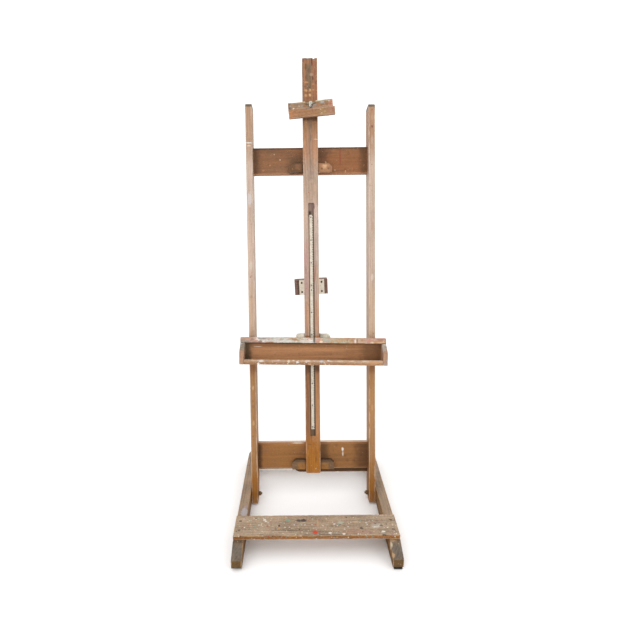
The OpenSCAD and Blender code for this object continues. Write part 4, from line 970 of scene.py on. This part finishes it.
for n, patch in (("tray_left_end", rgb(140, 130, 114)), ("tray_right_end", rgb(172, 156, 142))):
    B(n, TRAY, "z", TRAY_WOOD, step=0.006, round_=0.002, smear=0.45, smear_colours=GREYS, splash=0.4,
      mid=rgb(176, 138, 110),
      mottle=0.8, zones=[((None, (-120, -60), (634, 700)), 4, patch, 0.9)])
for n in ("left_carriage_block", "right_carriage_block"):
    B(n, TRAY, "z", TRAY_WOOD, step=0.005, smear=1.5, smear_colours=[
        rgb(248, 236, 220), rgb(236, 226, 212), rgb(230, 230, 208), rgb(244, 232, 216)], splash=0.15,
        mid=rgb(206, 190, 170))
screws("tray_screws", PAINTED)
metal("pawl_pin", SCREW, TRAY, width=0.0003)
metal("pawl_spring", BRIGHT, TRAY, width=0.0001, longer=0.0006)
metal("rack_pawl", STEEL, TRAY, width=0.0003)

# ---- clamp ----

B("clamp_shoe", LEANING, "z", DARK, step=0.005)
CLAMP_WOOD = dict(MAST_WOOD, mid=rgb(144, 106, 74), grey=(rgb(140, 118, 98), 0.5), mottle=0.9)
B("clamp_block", CLAMP, "x", CLAMP_WOOD, step=0.006, round_=0.0018, chip=1.4, smear=0.2, smear_colours=[
    rgb(160, 156, 132), GREY, rgb(150, 132, 120), rgb(166, 148, 134)], splash=0.4, zones=[
    ((None, None, (10, 16)), 2.5, rgb(174, 168, 138), 0.8),
    (((-86, -30), None, (-14, 9)), 8, rgb(156, 132, 106), 0.6),
    (((72, 90), None, None), 5, rgb(184, 128, 104), 0.8), (((-90, -79), None, None), 3, rgb(98, 84, 78), 0.7),
    # the zone from -15 to -11 mm is painted shade: a dark line along the block's lower edge
    ((None, None, (-15, -11)), 1.5, rgb(104, 72, 50), 0.7)],
  marks=front_marks(-92, 6, [
    (-68, -9, 4.5, 3, rgb(240, 222, 198), 0.9), (47, 6, 10, 6, rgb(176, 178, 176), 0.75),
    (38, 3, 6, 5, rgb(150, 140, 128), 0.5), (36, 13, 14, 2.5, rgb(226, 214, 184), 0.8),
    (-20, 13, 10, 2.5, rgb(226, 208, 178), 0.8), (74, 8, 4, 4, rgb(214, 196, 174), 0.7),
    # the marks at (-12, 3), (12, 4) and (0, -6) are painted shadow: the dark V round the thumb screw
    (78, -4, 4, 7, rgb(150, 72, 58), 0.5), (-12, 3, 12, 6, rgb(88, 76, 54), 0.85),
    (12, 4, 13, 5, rgb(96, 84, 62), 0.8), (0, -6, 9, 7, rgb(84, 66, 48), 0.8),
    (-54, 4, 10, 4, rgb(128, 112, 92), 0.6), (-80, 2, 4, 6, rgb(178, 166, 158), 0.5),
    (34, -4, 8, 5, rgb(178, 118, 76), 0.6)]))
B("clamp_jaw", CLAMP, "x", CLAMP_WOOD, step=0.006, round_=0.0018, chip=1.2, mid=rgb(167, 120, 82),
  grey=(rgb(163, 126, 94), 0.4),
  splash=0.2, flecks=FAINT, grain=0.6, zones=[
    ((None, None, (-48, -44)), 1.5, rgb(122, 84, 60), 0.7),
    (((66, 98), None, None), 8, rgb(172, 126, 102), 0.7),
    (((28, 66), None, None), 10, rgb(166, 132, 94), 0.6),
    (((-98, -70), None, None), 8, rgb(190, 128, 84), 0.6)],
  marks=front_marks(-96, 6, [
    (38, -22, 4.5, 4, rgb(226, 190, 150), 0.8), (41, -37, 6, 4, rgb(230, 196, 156), 0.8),
    (54, -32, 5, 3, rgb(214, 176, 140), 0.6), (86, -24, 5, 4, rgb(160, 84, 76), 0.7),
    (78, -34, 4, 4, rgb(206, 150, 128), 0.6), (6, -24, 3, 8, rgb(110, 70, 48), 0.6),
    (-18, -30, 4, 5, rgb(140, 92, 62), 0.5), (-60, -34, 8, 4, rgb(196, 142, 100), 0.5)]))
B("clamp_spacers", CLAMP, "z", CLAMP_WOOD, step=0.006)
B("clamp_back_bar", CLAMP, "x", CLAMP_WOOD, step=0.008)
screws("clamp_screws", DULL)
metal("clamp_insert", BRASS, CLAMP, width=0.0003)
metal("clamp_thumb_screw", BRIGHT, CLAMP @ turn(12, "Y"), width=0.0009, segments=3, longer=0.0004)

# ---- rear strut ----

for n in ("lower_strut", "upper_strut"):
    B(n, STRUT, "z", RUNNER, top=None, step=0.016)
B("strut_block", SLEEVE, "x", DARK, step=0.006, round_=0.0018, zones=[
    (((-60, -46), None, None), 4, rgb(84, 62, 44), 0.7), (((58, 80), None, None), 6, rgb(128, 96, 82), 0.7)])
metal("strut_keeper_plate", PLATE, SLEEVE, width=0.0005)
screws("keeper_screws", BLACKED)
metal("strut_clamp_bolt", SCREW, STRUT, width=0.0007)
knob("strut_clamp_knob", STRUT @ shift(0, 0, 0.849), 0.018, 0.026, 0.0200, [LACQUER])

# ---- floor, light and camera ----


def plain(name, colour, rough):
    m = bpy.data.materials.new(name)
    m.use_nodes = True
    b = m.node_tree.nodes["Principled BSDF"]
    b.inputs["Base Color"].default_value = colour
    b.inputs["Roughness"].default_value = rough
    return m


me = bpy.data.meshes.new("floor")
me.from_pydata([(-30, -30, 0), (30, -30, 0), (30, 30, 0), (-30, 30, 0)], [], [(0, 1, 2, 3)])
me.materials.append(plain("pale_floor", (0.98, 0.98, 0.98, 1), 0.9))
floor = bpy.data.objects.new("floor", me)
bpy.context.scene.collection.objects.link(floor)

world = bpy.data.worlds.new("studio")
world.use_nodes = True
world.node_tree.nodes["Background"].inputs[0].default_value = (1, 1, 1, 1)
world.node_tree.nodes["Background"].inputs[1].default_value = 1.24
bpy.context.scene.world = world


def softbox(name, at, to, size, power):
    l = bpy.data.lights.new(name, "AREA")
    l.shape, l.size, l.size_y, l.energy = "RECTANGLE", size[0], size[1], power
    o = bpy.data.objects.new(name, l)
    o.location = at
    o.rotation_mode = "QUATERNION"
    o.rotation_quaternion = (Vector(to) - Vector(at)).to_track_quat("-Z", "Y")
    bpy.context.scene.collection.objects.link(o)


softbox("key", (-1.6, -2.6, 3.2), (0, 0.2, 0.8), (2.4, 2.4), 20)
softbox("fill", (2.2, -2.2, 1.6), (0, 0.2, 0.9), (1.6, 2.0), 8)

EYE = (-0.0593, -1.8093, 1.2738)
cam = bpy.data.cameras.new("camera")
cam.lens, cam.sensor_width, cam.shift_x = 27.0, 36.0, 0.0386
camera = bpy.data.objects.new("camera", cam)
yaw, pitch, roll = (math.radians(a) for a in (-0.31, 14.15, -0.71))
ahead = Vector((math.sin(yaw) * math.cos(pitch), math.cos(yaw) * math.cos(pitch), -math.sin(pitch)))
right = Vector((math.cos(yaw), -math.sin(yaw), 0))
above = right.cross(ahead)
r2 = right * math.cos(roll) + above * math.sin(roll)
u2 = above * math.cos(roll) - right * math.sin(roll)
camera.matrix_world = Matrix((
    (r2.x, u2.x, -ahead.x, EYE[0]), (r2.y, u2.y, -ahead.y, EYE[1]), (r2.z, u2.z, -ahead.z, EYE[2]),
    (0, 0, 0, 1)))
bpy.context.scene.collection.objects.link(camera)
bpy.context.scene.camera = camera
bpy.context.scene.view_settings.view_transform = "Standard"
